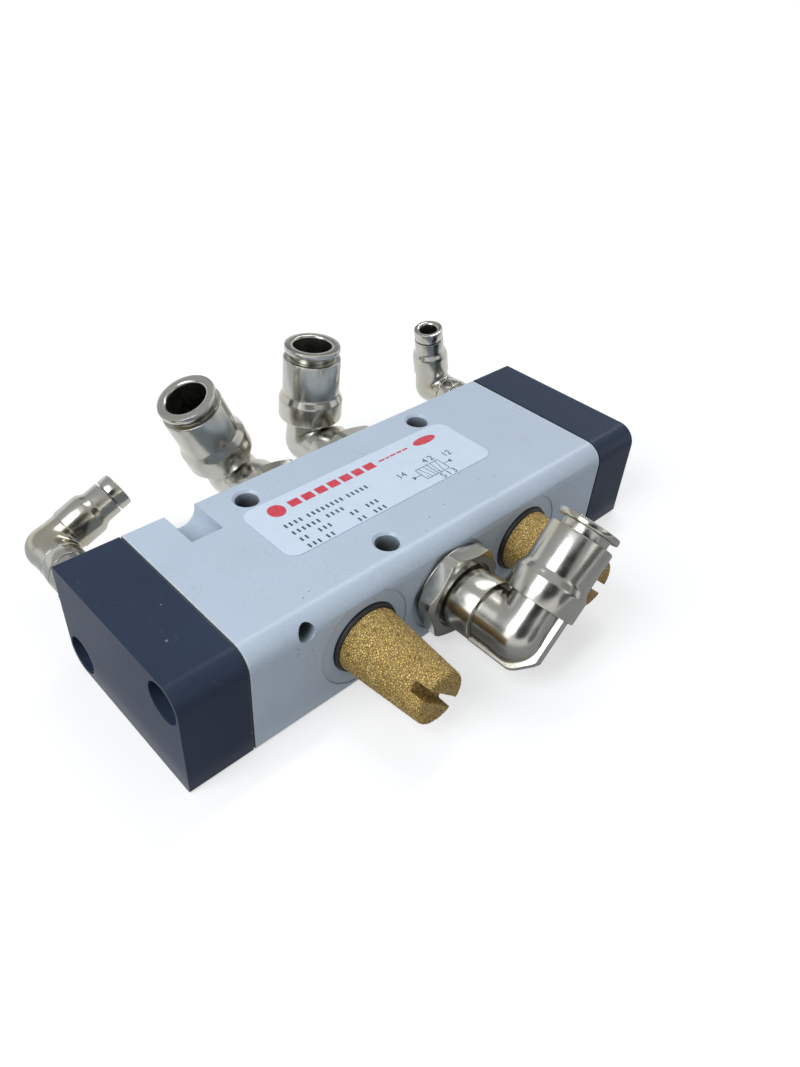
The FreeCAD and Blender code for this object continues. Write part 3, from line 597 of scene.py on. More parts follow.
def hexagon_columns(part):
    """Angles round a hexagon, with a column on each line where a flat meets the turned corner."""
    limit = math.acos(part["flats"] / 2 / part["turned"])
    half = np.concatenate([np.linspace(0, limit * 0.985, HALF_FLAT_COLUMNS), [limit * 1.015, math.pi / 6]])
    one_flat = np.concatenate([half, -half[-2:0:-1]])
    turns = np.arange(6)[:, None] * np.pi / 3 + np.pi / 6
    return np.sort((one_flat[None, :] + turns).ravel() % (2 * np.pi))


def adapter_grid(part, washer):
    """Rows from the foot up the outside and back down the bore. The side's radius is the lower of
    the hexagon, half the width over the cosine from the nearest flat, and the turned corner."""
    angle = hexagon_columns(part)
    from_flat = (angle % (np.pi / 3)) - np.pi / 6
    side = np.minimum(part["flats"] / 2 / np.cos(from_flat), part["turned"])
    top = washer + part["height"]
    bevel = part["turned"] - part["flats"] / 2 + EDGE
    shoulder = part["turned"] - bevel
    drawn_in = (part["turned"] - side) / 2
    meet = top - bevel / 2 + drawn_in
    low_meet = washer + bevel / 2 - drawn_in
    collar_top = top + part["hub_length"]
    stem_top = collar_top + part["stem_length"]
    floor = top - part["recess_depth"]
    flat = np.zeros(len(angle))
    rows = [(part["foot"], part["flow"]), (part["foot"], part["thread"] - EDGE),
            (part["foot"] + EDGE, part["thread"]), (washer, part["thread"]),
            (washer, shoulder - EDGE / 6), (washer + EDGE / 6, shoulder + EDGE / 3),
            (low_meet - EDGE / 8, side - EDGE / 4), (low_meet + EDGE / 4, side),
            (meet - EDGE / 4, side), (meet + EDGE / 8, side - EDGE / 4),
            (top - EDGE / 6, shoulder + EDGE / 3), (top, shoulder - EDGE / 6),
            (top, part["recess"] + EDGE / 3), (top - EDGE / 3, part["recess"]),
            (floor, part["recess"]), (floor, part["hub"]), (collar_top, part["hub"]),
            (collar_top, part["stem"]), (stem_top - EDGE, part["stem"]),
            (stem_top, part["stem"] - EDGE), (stem_top, part["flow"])]
    station = np.array([row[0] + flat for row in rows])
    radius = np.array([row[1] + flat for row in rows])
    return np.stack([radius * np.cos(angle), radius * np.sin(angle), station], axis=-1)


def make_adapters(finish, washer_finish):
    """Adapters and their seat washers, seated below the elbows."""
    for name in FITTINGS:
        kind = name.split("_")[0]
        part = PORT_ADAPTER if kind == "port" else PILOT_ADAPTER
        corner, outward, _ = fitting_seat(name)
        low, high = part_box(name + "_seat_washer")
        washer = (high.y - low.y) / MM
        lift = washer + part["height"] + part["hub_length"] + CORNER_HEIGHT[kind]
        sideways = (math.cos(HEXAGON_TURN), 0, math.sin(HEXAGON_TURN))
        seat = corner - outward * lift
        mesh = mesh_from_grid(name + "_hexagon", seated(adapter_grid(part, washer), seat, outward, sideways))
        show_piece(name + "_hexagon", mesh, finish, name + "_adapter", HEX_SHARP)
        ring = rounded([(0, part["thread"], 0.05), (0, part["washer"], 0.1),
                        (washer, part["washer"], 0.1), (washer, part["thread"], 0.05)])
        mesh = mesh_from_grid(name + "_washer", seated(turned_grid(ring), seat, outward, sideways))
        show_piece(name + "_washer", mesh, washer_finish, name + "_seat_washer")
        print(name, "adapter on a washer of", round(washer, 2))


print("columns round a hexagon", len(hexagon_columns(PORT_ADAPTER)))

# %% [markdown]
# The collet is the ring that is pressed to let a tube go. Its flange and neck show above the elbow,
# and its claws, split by six saw cuts, sit inside. It is a turned profile carried round the arm's
# axis. In the columns that fall in a saw cut, the claw's rows are drawn back to the end of the cut,
# which opens the slot without any boolean.

# %% Release collets
PORT_COLLET = {"profile": [(15.74, 4.1, 0), (15.74, 5.3, 0.15), (17.6, 5.3, 0), (18.8, 4.7, 0.2),
                           (21.8, 4.7, 0.25), (21.8, 6.0, 0.25), (23.0, 6.0, 0.4), (23.0, 4.35, 0.3),
                           (22.6, 4.1, 0.1)],
               "cut_end": 18.9, "neck": 4.7, "cut_neck": 4.7}
PILOT_COLLET = {"profile": [(9.29, 2.1, 0), (9.29, 2.9, 0.15), (11.95, 2.9, 0), (12.3, 2.55, 0.1),
                            (14.4, 2.55, 0.1), (14.4, 3.45, 0.12), (16.8, 3.45, 0.45), (16.8, 2.5, 0.3),
                            (16.4, 2.1, 0.1)],
                "cut_end": 12.5, "neck": 2.55, "cut_neck": 2.45}
CUT_WIDTH = 0.7
CUTS = 6
PLAIN_COLUMNS = 16


def collet_grid(part):
    """Turned profile with saw cuts: columns come in pairs at each side of a cut."""
    outline = rounded(part["profile"])
    half = CUT_WIDTH / 2 / part["neck"]
    one = np.concatenate([[-half, -half * 0.999, half * 0.999, half],
                          np.linspace(half, 2 * np.pi / CUTS - half, PLAIN_COLUMNS)[1:-1]])
    in_one = np.array([False, True, True, False] + [False] * (PLAIN_COLUMNS - 2))
    angle = (np.arange(CUTS)[:, None] * 2 * np.pi / CUTS + one).ravel()
    in_cut = np.tile(in_one, CUTS)[None, :]
    station = outline[:, 0:1] + 0 * angle
    radius = outline[:, 1:2] + 0 * angle
    behind = in_cut & (station < part["cut_end"])
    station = np.where(behind, part["cut_end"], station)
    radius = np.where(behind, np.minimum(radius, part["cut_neck"]), radius)
    return np.stack([radius * np.cos(angle), radius * np.sin(angle), station], axis=-1)


def make_collets(finish):
    """All five collets, along their elbows' arms."""
    for name in FITTINGS:
        part = PORT_COLLET if name.startswith("port") else PILOT_COLLET
        corner, outward, arm = fitting_seat(name)
        mesh = mesh_from_grid(name + "_collet_ring", seated(collet_grid(part), corner, arm, outward))
        show_piece(name + "_collet_ring", mesh, finish, name + "_collet")
        print(name, "collet", len(mesh.polygons), "faces")


print("saw cuts in a collet", CUTS)

# %% [markdown]
# Every finish is mixed from noise on the object's own coordinates, so it stays put when a part
# turns. A photograph wrapped round the valve would show seams and would belong to one valve only.
# These helpers make the patterns that several finishes use: soft noise, cells, short arcs, pits, and
# painted shade in holes and narrow gaps, found from how much of the view is shut in. Edges get a small
# worn radius in their normals.

# %% Patterns for the finishes
EDGE_WEAR = 0.0002
ARC_SHARE = 0.42


def place_of(tree, turn=(0.0, 0.0, 0.0)):
    """Object coordinates, turned."""
    coordinates = add_node(tree, "ShaderNodeTexCoord").outputs["Object"]
    return add_node(tree, "ShaderNodeMapping", {"Vector": coordinates, "Rotation": turn}).outputs[0]


def axes_of(tree, vector):
    """X, Y and Z of a place."""
    return add_node(tree, "ShaderNodeSeparateXYZ", {0: vector}).outputs


def noise(tree, vector, scale, detail=2.0):
    """Smooth noise from 0 to 1."""
    inputs = {"Vector": vector, "Scale": scale, "Detail": detail}
    return add_node(tree, "ShaderNodeTexNoise", inputs).outputs[0]


def blend_colours(tree, share, first, second, kind="MIX"):
    """Mixes two colours by a share."""
    return add_node(tree, "ShaderNodeMixRGB", {0: share, 1: first, 2: second}, blend_type=kind).outputs[0]


def worn_normal(tree, height, depth, radius=EDGE_WEAR):
    """Normal with softened edges, and a bump of a given depth in metres on top."""
    soft = add_node(tree, "ShaderNodeBevel", {"Radius": radius}, samples=8).outputs[0]
    return add_node(tree, "ShaderNodeBump", {"Height": height, "Distance": depth, "Strength": 1.0,
                                             "Normal": soft}).outputs[0]


def cells(tree, vector, scale, feature, output):
    """A cell pattern's output, such as the distance to a border or a colour for each cell."""
    return add_node(tree, "ShaderNodeTexVoronoi", {"Vector": vector, "Scale": scale},
                    feature=feature).outputs[output]


def lots(tree, vector, scale):
    """Three random shares for each cell."""
    return add_node(tree, "ShaderNodeSeparateColor", {0: cells(tree, vector, scale, "F1", "Color")}).outputs


def arc_scratches(tree, vector, scale, width):
    """Share of 1 on short thin arcs: circles round cell middles, let through by a mask."""
    near = cells(tree, vector, scale, "F1", "Distance")
    pick = lots(tree, vector, scale)
    circle = spread(tree, pick[0], 0.0, 1.0, 0.15, 0.5)
    away = combine(tree, "ABSOLUTE", combine(tree, "SUBTRACT", near, circle))
    line = spread(tree, away, width * 0.4, width, 1.0, 0.0)
    mask = spread(tree, noise(tree, vector, scale * 3.6, 1.0), 0.55, 0.61, 0.0, 1.0)
    chosen = combine(tree, "LESS_THAN", pick[1], ARC_SHARE)
    return combine(tree, "MULTIPLY", combine(tree, "MULTIPLY", line, mask), chosen)


def pits(tree, vector, scale, size, share):
    """Share of 1 on small round pits, in a share of the cells only."""
    near = cells(tree, vector, scale, "F1", "Distance")
    chosen = combine(tree, "LESS_THAN", lots(tree, vector, scale)[0], share)
    return combine(tree, "MULTIPLY", spread(tree, near, size * 0.6, size, 1.0, 0.0), chosen)


def painted_hollow_shade(tree, reach, low, high, own_only):
    """Share of 1 for painted shade in holes and narrow gaps, from how much of the view is shut within a
    reach.
    """
    open_share = add_node(tree, "ShaderNodeAmbientOcclusion", {"Distance": reach}, samples=8,
                          only_local=own_only).outputs["AO"]
    return spread(tree, open_share, low, high, 1.0, 0.0)


def finished(tree, shader, colour, roughness, normal=None, **plain):
    """Wires a colour, a roughness and a normal, and sets plain sockets."""
    tree.links.new(colour, shader.inputs["Base Color"])
    tree.links.new(roughness, shader.inputs["Roughness"])
    if normal is not None:
        tree.links.new(normal, shader.inputs["Normal"])
    set_inputs(shader, **plain)


print("worn edges", EDGE_WEAR / MM, "mm")

# %% [markdown]
# The block wears a satin film on milled aluminium: a cloudy tone, a very fine grain, small dark pits
# and short curved hairlines from handling. The caps have such a film too, dark and with pale pits. A
# painted picture could hold the marks, but would blur close by. Here the hairlines are arcs round the
# middles of large cells, kept only where a second noise lets them through. The film is rubbed to a
# thin pale line along the block's end edges, and has a few nicks on its front crest. Holes, gaps and
# the mouths of the front ports get painted shade: their colour is darkened almost to black.

# %% Where the film is rubbed or painted with shade
PORT_PITCH = 2 * joints["port_2_swivel_turn"]["pos_m"][0]
PORT_LEVEL = joints["port_1_swivel_turn"]["pos_m"][2]
FRONT_FROM = -0.012
PORTS_WITHIN = 0.030
MOUTH_RADIUS = 0.00711
MOUTH_BLUR = 0.00003
END_LINE = (0.00042, 0.00020)
CREST_LINE = (0.00035, 0.00010)


def painted_mouth_shade(tree):
    """Share of 1 for painted shade on the mouths of the front ports, from the distance to the nearest port's
    axis.
    They stand one pitch apart, and the middle one is at zero, so X is wrapped to that pitch. The back
    ports stand half a pitch beside the middle."""
    place = axes_of(tree, place_of(tree))
    along = add_node(tree, "ShaderNodeMath", {0: place[0], 1: PORT_PITCH / 2, 2: -PORT_PITCH / 2},
                     operation="WRAP").outputs[0]
    above = combine(tree, "SUBTRACT", place[2], PORT_LEVEL)
    away = combine(tree, "SQRT", combine(tree, "ADD", combine(tree, "MULTIPLY", along, along),
                                         combine(tree, "MULTIPLY", above, above)))
    front = combine(tree, "MULTIPLY", combine(tree, "LESS_THAN", place[1], FRONT_FROM),
                    combine(tree, "LESS_THAN", combine(tree, "ABSOLUTE", place[0]), PORTS_WITHIN))
    mouth = spread(tree, away, MOUTH_RADIUS - MOUTH_BLUR, MOUTH_RADIUS + MOUTH_BLUR, 1.0, 0.0)
    return combine(tree, "MULTIPLY", mouth, front)


def front_crest():
    """Largest Z - Y on the block in metres, which only the crest of its rounded front edge reaches."""
    mesh = nodes["valve_body"].data
    points = np.empty(len(mesh.vertices) * 3, np.float32)
    mesh.vertices.foreach_get("co", points)
    return float((points[2::3] - points[1::3]).max())


def rubbed_edges(tree):
    """Share of rubbed film: a thin line along the block's end edges, and nicks on its front crest."""
    at = place_of(tree)
    place = axes_of(tree, at)
    end, crest = float(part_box("valve_body")[1].x), front_crest()
    line = spread(tree, combine(tree, "ABSOLUTE", place[0]), end - END_LINE[0], end - END_LINE[1], 0.0, 1.0)
    ends = combine(tree, "MULTIPLY", line, spread(tree, noise(tree, at, 700.0, 3.0), 0.42, 0.60, 0.15, 0.80))
    line = spread(tree, combine(tree, "SUBTRACT", place[2], place[1]), crest - CREST_LINE[0],
                  crest - CREST_LINE[1], 0.0, 1.0)
    nicks = combine(tree, "MULTIPLY", line, spread(tree, noise(tree, at, 850.0, 4.0), 0.60, 0.68, 0.0, 0.45))
    return combine(tree, "MAXIMUM", ends, nicks)


print("front ports", round(PORT_PITCH / MM, 4), "mm apart,", round(PORT_LEVEL / MM, 4), "mm up")

# %% Film of the block and the caps
BLOCK_FILM = {"colour": opaque(0.50, 0.58, 0.68), "cloudiness": 0.03, "line": opaque(0.36, 0.40, 0.46),
              "line_share": 0.55, "pit": opaque(0.03, 0.03, 0.035), "pit_share": 0.08, "roughness": 0.31,
              "uneven": 0.018, "gloss": 0.40, "grain": 0.000006, "rubbed": opaque(0.66, 0.67, 0.63)}
CAP_FILM = {"colour": opaque(0.031, 0.044, 0.076), "cloudiness": 0.08, "line": opaque(0.13, 0.14, 0.16),
            "line_share": 0.22, "pit": opaque(0.24, 0.25, 0.27), "pit_share": 0.04, "roughness": 0.33,
            "uneven": 0.004, "gloss": 0.12, "grain": 0.0000001}
HOLLOW_SHADE_COLOUR = opaque(0.035, 0.037, 0.036)
HOLE_REACH, GAP_REACH = 0.006, 0.0016
PIT_COVER, HOLLOW_SHADE_COVER = 0.85, 0.88


def satin_film(name, film):
    """Satin film on aluminium, from its table, with painted shade in holes and gaps. Only a film with a
    rubbed colour gets rubbed edges and painted shade in the mouths of the front ports.
    """
    finish, tree, shader = new_finish(name)
    at = place_of(tree)
    cloud = spread(tree, noise(tree, at, 70.0, 4.0), 0.3, 0.7, 1 - film["cloudiness"], 1 + film["cloudiness"])
    mottle = spread(tree, noise(tree, at, 1500.0, 3.0), 0.3, 0.7, 0.975, 1.025)
    shade = blend_colours(tree, 1.0, film["colour"], combine(tree, "MULTIPLY", cloud, mottle), "MULTIPLY")
    fine = arc_scratches(tree, place_of(tree, (0.5, 0.9, 0.2)), 240.0, 0.018)
    long = arc_scratches(tree, at, 110.0, 0.009)
    lines = combine(tree, "MULTIPLY", combine(tree, "MAXIMUM", fine, long), film["line_share"])
    shade = blend_colours(tree, lines, shade, film["line"])
    small = pits(tree, at, 620.0, 0.11, film["pit_share"])
    large = pits(tree, place_of(tree, (0.2, 0.4, 0.8)), 260.0, 0.075, film["pit_share"] * 0.6)
    marks = combine(tree, "MAXIMUM", small, large)
    shade = blend_colours(tree, combine(tree, "MULTIPLY", marks, PIT_COVER), shade, film["pit"])
    # Painted shade: holes and narrow gaps are darkened towards an almost black colour.
    dark = combine(tree, "MAXIMUM", painted_hollow_shade(tree, HOLE_REACH, 0.25, 0.65, True),
                   painted_hollow_shade(tree, GAP_REACH, 0.30, 0.60, False))
    if "rubbed" in film:
        shade = blend_colours(tree, rubbed_edges(tree), shade, film["rubbed"])
        # Painted shade in a ring at the mouth of each front port.
        dark = combine(tree, "MAXIMUM", dark, painted_mouth_shade(tree))
    shade = blend_colours(tree, combine(tree, "MULTIPLY", dark, HOLLOW_SHADE_COVER), shade, HOLLOW_SHADE_COLOUR)
    height = combine(tree, "SUBTRACT", noise(tree, at, 5200.0), combine(tree, "MULTIPLY", marks, 2.0))
    rough = spread(tree, noise(tree, at, 900.0), 0.3, 0.7, film["roughness"] - film["uneven"],
                   film["roughness"] + film["uneven"])
    finished(tree, shader, shade, rough, worn_normal(tree, height, film["grain"]), Metallic=0.0,
             Specular_IOR_Level=film["gloss"])
    return finish


block_film, cap_film = satin_film("block_coat", BLOCK_FILM), satin_film("cap_coat", CAP_FILM)
print("film nodes", len(block_film.node_tree.nodes), "and", len(cap_film.node_tree.nodes))

# %% [markdown]
# The fittings are brass with satin nickel on it. One even grey would do from afar, but looks like
# plastic close by, so the plating varies in roughness, has a faint warm cast in patches, and is
# slightly wavy: more on what was forged, less on what was turned. What is dull or hidden, such as
# washers, screws, gaskets, rings and the spool, has a plain recipe with a fine uneven tone.

# %% Plated, blackened and moulded stuff
METAL_GAP_SHADE_REACH = 0.0014
SKIN_DEPTH, SKIN_WEAR = 0.00006, 0.00008


def nickel_plating(name, waviness, patchiness):
    """Satin nickel on brass, with a faint warm cast in patches, a slightly wavy, pebbled skin and painted
    shade in narrow gaps.
    """
    finish, tree, shader = new_finish(name)
    at = place_of(tree)
    warm = spread(tree, noise(tree, at, 110.0, 1.0), 0.54, 0.72, 0.0, patchiness)
    shade = blend_colours(tree, warm, opaque(0.49, 0.485, 0.445), opaque(0.49, 0.43, 0.27))
    # Painted shade: narrow gaps in the metal are darkened by how much of the view is shut in.
    dark = painted_hollow_shade(tree, METAL_GAP_SHADE_REACH, 0.25, 0.70, True)
    shade = blend_colours(tree, combine(tree, "MULTIPLY", dark, 0.7), shade, opaque(0.09, 0.088, 0.075))
    smear = spread(tree, noise(tree, at, 420.0, 2.0), 0.35, 0.75, 0.19, 0.26)
    wave = combine(tree, "ADD", combine(tree, "MULTIPLY", noise(tree, at, 330.0, 1.0), waviness),
                   combine(tree, "MULTIPLY", noise(tree, at, 2600.0, 1.0), waviness * 0.5))
    finished(tree, shader, shade, smear, worn_normal(tree, wave, SKIN_DEPTH, SKIN_WEAR), Metallic=1.0)
    return finish


def washer_steel():
    """Dull plated ring under each hexagon."""
    finish, tree, shader = new_finish("washer_steel")
    at = place_of(tree)
    tone = noise(tree, at, 700.0, 3.0)
    shade = blend_colours(tree, tone, opaque(0.46, 0.45, 0.42), opaque(0.62, 0.61, 0.58))
    finished(tree, shader, shade, spread(tree, tone, 0.3, 0.7, 0.28, 0.42),
             worn_normal(tree, noise(tree, at, 3000.0), 0.00001), Metallic=1.0)
    return finish


def black_steel():
    """Blackened screw heads."""
    finish, tree, shader = new_finish("black_steel")
    at = place_of(tree)
    tone = noise(tree, at, 1200.0, 3.0)
    shade = blend_colours(tree, tone, opaque(0.05, 0.05, 0.055), opaque(0.16, 0.155, 0.15))
    finished(tree, shader, shade, spread(tree, tone, 0.3, 0.7, 0.35, 0.5),
             worn_normal(tree, tone, 0.00001), Metallic=0.8)
    return finish


def moulded(name, dark, pale, roughness, fineness=1800.0, depth=0.00001, metallic=0.0):
    """Plain moulded or turned stuff for gaskets, rings, cages and what is inside."""
    finish, tree, shader = new_finish(name)
    at = place_of(tree)
    tone = noise(tree, at, fineness, 3.0)
    shade = blend_colours(tree, tone, dark, pale)
    finished(tree, shader, shade, spread(tree, tone, 0.3, 0.7, roughness - 0.06, roughness + 0.06),
             worn_normal(tree, tone, depth), Metallic=metallic)
    return finish


BLACK = opaque(0.008, 0.008, 0.009)
RUBBER = opaque(0.022, 0.022, 0.024)
print("recipes for metal and moulded stuff ready")

# %% [markdown]
# Sintered bronze is a mass of small fused beads with dark gaps. One flat gold would look like brass
# sheet. Here each small cell has its own tone between brown and pale gold, and the shade between the
# beads is painted: the borders between cells are darkened, and so are the deep places that the
# silencer's mesh keeps in an attribute.

# %% Sintered bronze
SPECK_SCALE = 2700.0
SEAM_DEPTH, SEAM_WEAR = 0.00006, 0.00002


def sintered_bronze():
    """Fused bronze grains. The grains' height, kept on the mesh, darkens the gaps between them as painted
    shade.
    """
    finish, tree, shader = new_finish("sintered_bronze")
    grain = add_node(tree, "ShaderNodeAttribute", attribute_name="grain").outputs["Fac"]
    at = place_of(tree)
    border = cells(tree, at, SPECK_SCALE, "DISTANCE_TO_EDGE", "Distance")
    seam = spread(tree, border, 0.03, 0.28, 0.09, 1.0)
    share = lots(tree, at, SPECK_SCALE)[0]
    bright = blend_colours(tree, share, opaque(0.70, 0.44, 0.105), opaque(0.94, 0.71, 0.26))
    dust = spread(tree, noise(tree, at, 260.0, 4.0), 0.46, 0.70, 0.0, 0.15)
    bright = blend_colours(tree, dust, bright, opaque(0.40, 0.33, 0.19))
    # Painted shade: the cell borders and the low places between beads are darkened to a deep brown.
    unshaded_share = combine(tree, "MULTIPLY", seam, spread(tree, grain, 0.0, 0.6, 0.25, 1.0))
    shade = blend_colours(tree, unshaded_share, opaque(0.14, 0.080, 0.018), bright)
    finished(tree, shader, shade, spread(tree, share, 0.0, 1.0, 0.40, 0.60),
             worn_normal(tree, seam, SEAM_DEPTH, SEAM_WEAR), Metallic=0.30)
    return finish


bronze = sintered_bronze()
print("bronze nodes", len(bronze.node_tree.nodes))

# %% [markdown]
# The record gives every node a slot, which names what it is made of. A finish could be given to each
# node one by one, but through the slots alike pieces stay alike, the hidden ones too.

# %% A finish for each slot
finishes = {
    "block": block_film,
    "cap": cap_film,
    "gasket": moulded("cap_gasket", opaque(0.06, 0.07, 0.09), opaque(0.10, 0.11, 0.13), 0.6),
    "screw_steel": black_steel(),
    "label": moulded("label_film", opaque(0.62, 0.72, 0.84), opaque(0.66, 0.76, 0.87), 0.34, 400.0, 0.000004),
    "sintered_bronze": bronze,
    "bush": moulded("bush_metal", opaque(0.42, 0.43, 0.44), opaque(0.55, 0.56, 0.57), 0.35, metallic=0.9),
    "cage": moulded("cage_plastic", opaque(0.10, 0.05, 0.025), opaque(0.16, 0.09, 0.05), 0.5),
    "seal_rubber": moulded("seal_rubber", BLACK, RUBBER, 0.5),
    "spool_metal": moulded("spool_metal", opaque(0.30, 0.31, 0.33), opaque(0.40, 0.41, 0.43), 0.22,
                           metallic=1.0),
    "piston_plastic": moulded("piston_plastic", opaque(0.60, 0.58, 0.52), opaque(0.70, 0.68, 0.63), 0.45),
    "nickel": nickel_plating("forged_nickel", 0.18, 0.50),
    "turned_nickel": nickel_plating("turned_nickel", 0.03, 0.35),
    "seat_washer": washer_steel(),
}
for name, node in nodes.items():
    node.data.materials.clear()
    node.data.materials.append(finishes[slot_of_node[name]])
print("finishes", len(finishes))

# %% [markdown]
# The block, caps, label, gaskets and screws already have the right shape, but their faces are loose
# triangles that catch light one by one. A copy of each mesh is merged, smoothed up to its sharp
# edges and weighted so that flat faces stay flat.

# %% Block, caps and small hardware
MERGE = 1e-6
FLAT_ANGLE = math.radians(0.3)
CUT_ANGLE = math.radians(28)


def merged_copy(node_name):
    """A node's mesh with its doubles merged."""
    mesh = nodes[node_name].data.copy()
    mesh.attributes.remove(mesh.attributes["custom_normal"])
    work = bmesh.new()
    work.from_mesh(mesh)
    bmesh.ops.remove_doubles(work, verts=work.verts, dist=MERGE)
    bmesh.ops.dissolve_limit(work, angle_limit=FLAT_ANGLE, verts=work.verts, edges=work.edges)
    work.to_mesh(mesh)
    work.free()
    return mesh


def dress(node_name, name, width):
    """Shows a merged, smoothed copy in place of a node, with its sharp edges broken by a width."""
    finish = finishes[slot_of_node[node_name]]
    piece = show_piece(name, merged_copy(node_name), finish, node_name, CUT_ANGLE)
    if width > 0:
        bevel = piece.modifiers.new("broken_edges", "BEVEL")
        bevel.width = width * MM
        bevel.segments = 2
        bevel.limit_method = "ANGLE"
        bevel.angle_limit = CUT_ANGLE
        bevel.use_clamp_overlap = True
        bevel.harden_normals = False
    weighted = piece.modifiers.new("flat_faces_stay_flat", "WEIGHTED_NORMAL")
    weighted.keep_sharp = True
    return piece


DRESSED = {"valve_body": ("milled_block", 0.15), "end_cap_left": ("left_cap", 0.3),
           "end_cap_right": ("right_cap", 0.3), "cap_gasket_left": ("left_gasket", 0),
           "cap_gasket_right": ("right_gasket", 0), "cap_screws_left": ("left_screws", 0.1),
           "cap_screws_right": ("right_screws", 0.1), "name_label": ("label_sheet", 0.03)}
for node_name, (name, width) in DRESSED.items():
    piece = dress(node_name, name, width)
    print(name, len(piece.data.polygons), "faces")

# %% [markdown]
# The label carries generic print: a red dot and red blocks, rows of short dark bars, and the symbol of
# such a valve with its port numbers. Print as a picture would blur when seen close. Here it is cut as
# thin plates on the film, which stay sharp at any size.

# %% Outlines for print
PRINT_HEIGHT = 0.02
FILM_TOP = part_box("name_label")[1].z / MM
FIGURE_SHARE = 0.7
STROKE = 0.14


def bar(x_low, x_high, y_low, y_high):
    """Corner points of an upright rectangle."""
    return np.array([(x_low, y_low), (x_high, y_low), (x_high, y_high), (x_low, y_high)])


def stroke(x_start, y_start, x_end, y_end, width=STROKE):
    """Corner points of a straight line with a width."""
    start, end = np.array((x_start, y_start)), np.array((x_end, y_end))
    along = (end - start) / np.linalg.norm(end - start)
    side = np.array((-along[1], along[0])) * width / 2
    return np.stack([start - side, end - side, end + side, start + side])


def oval(x, y, half_length, half_width, points=40):
    """Points of an ellipse."""
    angle = np.linspace(0, 2 * np.pi, points, endpoint=False)
    return np.stack([x + half_length * np.cos(angle), y + half_width * np.sin(angle)], axis=1)


def bar_row(x_start, y_base, height, lengths, gap):
    """A row of bars with the same gap between them."""
    ends = x_start + np.cumsum(np.array(lengths) + gap) - gap
    return [bar(end - length, end, y_base, y_base + height) for end, length in zip(ends, lengths)]


def add_plates(work, outlines):
    """Adds each outline to a mesh as a thin closed plate on the film."""
    for outline in outlines:
        low = [work.verts.new((x * MM, y * MM, FILM_TOP * MM)) for x, y in outline]
        high = [work.verts.new((x * MM, y * MM, (FILM_TOP + PRINT_HEIGHT) * MM)) for x, y in outline]
        work.faces.new(low[::-1])
        work.faces.new(high)
        for k in range(len(outline)):
            after = (k + 1) % len(outline)
            work.faces.new((low[k], low[after], high[after], high[k]))


def add_numeral(work, text, x, y, height):
    """Adds a number's outline, thickened to a plate, centred at a place."""
    curve = bpy.data.curves.new("numeral_" + text, "FONT")
    curve.body = text
    curve.align_x = "CENTER"
    curve.align_y = "CENTER"
    curve.size = height * MM / FIGURE_SHARE
    curve.extrude = PRINT_HEIGHT / 2 * MM
    drawn = bpy.data.objects.new("numeral_" + text, curve)
    mesh = bpy.data.meshes.new_from_object(drawn)
    bpy.data.objects.remove(drawn)
    mesh.transform(Matrix.Translation((x * MM, y * MM, (FILM_TOP + PRINT_HEIGHT / 2) * MM)))
    work.from_mesh(mesh)


def ink(name, colour, pale):
    """Slightly uneven printing ink."""
    finish, tree, shader = new_finish(name)
    at = place_of(tree)
    shade = blend_colours(tree, spread(tree, noise(tree, at, 2500.0, 3.0), 0.35, 0.7, 0.0, 1.0), colour, pale)
    finished(tree, shader, shade, spread(tree, noise(tree, at, 900.0), 0.0, 1.0, 0.3, 0.4))
    return finish


def show_print(name, work, finish):
    """Shows print as a piece that rides with the label."""
    bmesh.ops.remove_doubles(work, verts=work.verts, dist=MERGE)
    bmesh.ops.recalc_face_normals(work, faces=work.faces)
    mesh = bpy.data.meshes.new(name)
    work.to_mesh(mesh)
    work.free()
    piece = add_object(name, mesh)
    mesh.materials.append(finish)
    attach(piece, body_of_node["name_label"])
    print(name, len(mesh.polygons), "faces")


print("film top at", round(FILM_TOP, 3), "mm")

# %% Red and dark print
SMALL_BAR, SMALL_GAP, SMALL_HEIGHT = 0.42, 0.68, 1.05
DARK_ROWS = ((-21.9, 1.9, 4), (-16.8, 1.9, 8), (-7.4, 1.9, 5),
             (-21.9, -0.4, 6), (-14.2, -0.4, 4),
             (-21.9, -2.6, 2), (-17.8, -2.6, 3), (-10.4, -2.6, 2), (-6.6, -2.6, 3),
             (-21.9, -4.8, 3), (-17.8, -4.8, 2), (-10.4, -4.8, 2), (-6.6, -4.8, 3))

red = bmesh.new()
add_plates(red, [oval(-20.2, 7.0, 1.75, 1.75), oval(17.5, 7.1, 3.0, 1.15)])
add_plates(red, bar_row(-17.3, 6.1, 1.9, [2.4, 2.4, 2.3, 2.3, 2.3, 2.2, 2.4], 0.75))
add_plates(red, bar_row(4.9, 6.9, 0.42, [1.5, 0.9, 1.6, 1.2, 1.4], 0.3))
show_print("red_print", red, ink("red_ink", opaque(0.62, 0.035, 0.06), opaque(0.70, 0.10, 0.13)))

dark_ink = ink("black_ink", opaque(0.05, 0.055, 0.075), opaque(0.12, 0.13, 0.16))
dark = bmesh.new()
for x_start, y_base, count in DARK_ROWS:
    add_plates(dark, bar_row(x_start, y_base, SMALL_HEIGHT, [SMALL_BAR] * count, SMALL_GAP))
show_print("black_print", dark, dark_ink)

# %% Symbol of the valve
LEFT, MIDDLE, RIGHT, TOP, BOTTOM = 8.3, 11.4, 14.5, 0.35, -3.1
THIN_STROKE = 0.12
PILOT_LEVEL = -1.4
PILOT_LINE, PILOT_TIP, PILOT_HALF = 1.3, 2.1, 0.55
PATHS = ((0.0, -0.8), (0.9, 0.6))
SHUT_FROM, SHUT_TO, SHUT_RISE = -1.2, -0.7, 0.5
FIGURE_HEIGHT = 1.55
FIGURES = (("14", 5.1, 0.8), ("4", 12.2, 1.6), ("2", 13.9, 1.6), ("12", 17.6, 0.8),
           ("5", 11.6, -4.3), ("1", 13.1, -4.3), ("3", 14.6, -4.3))

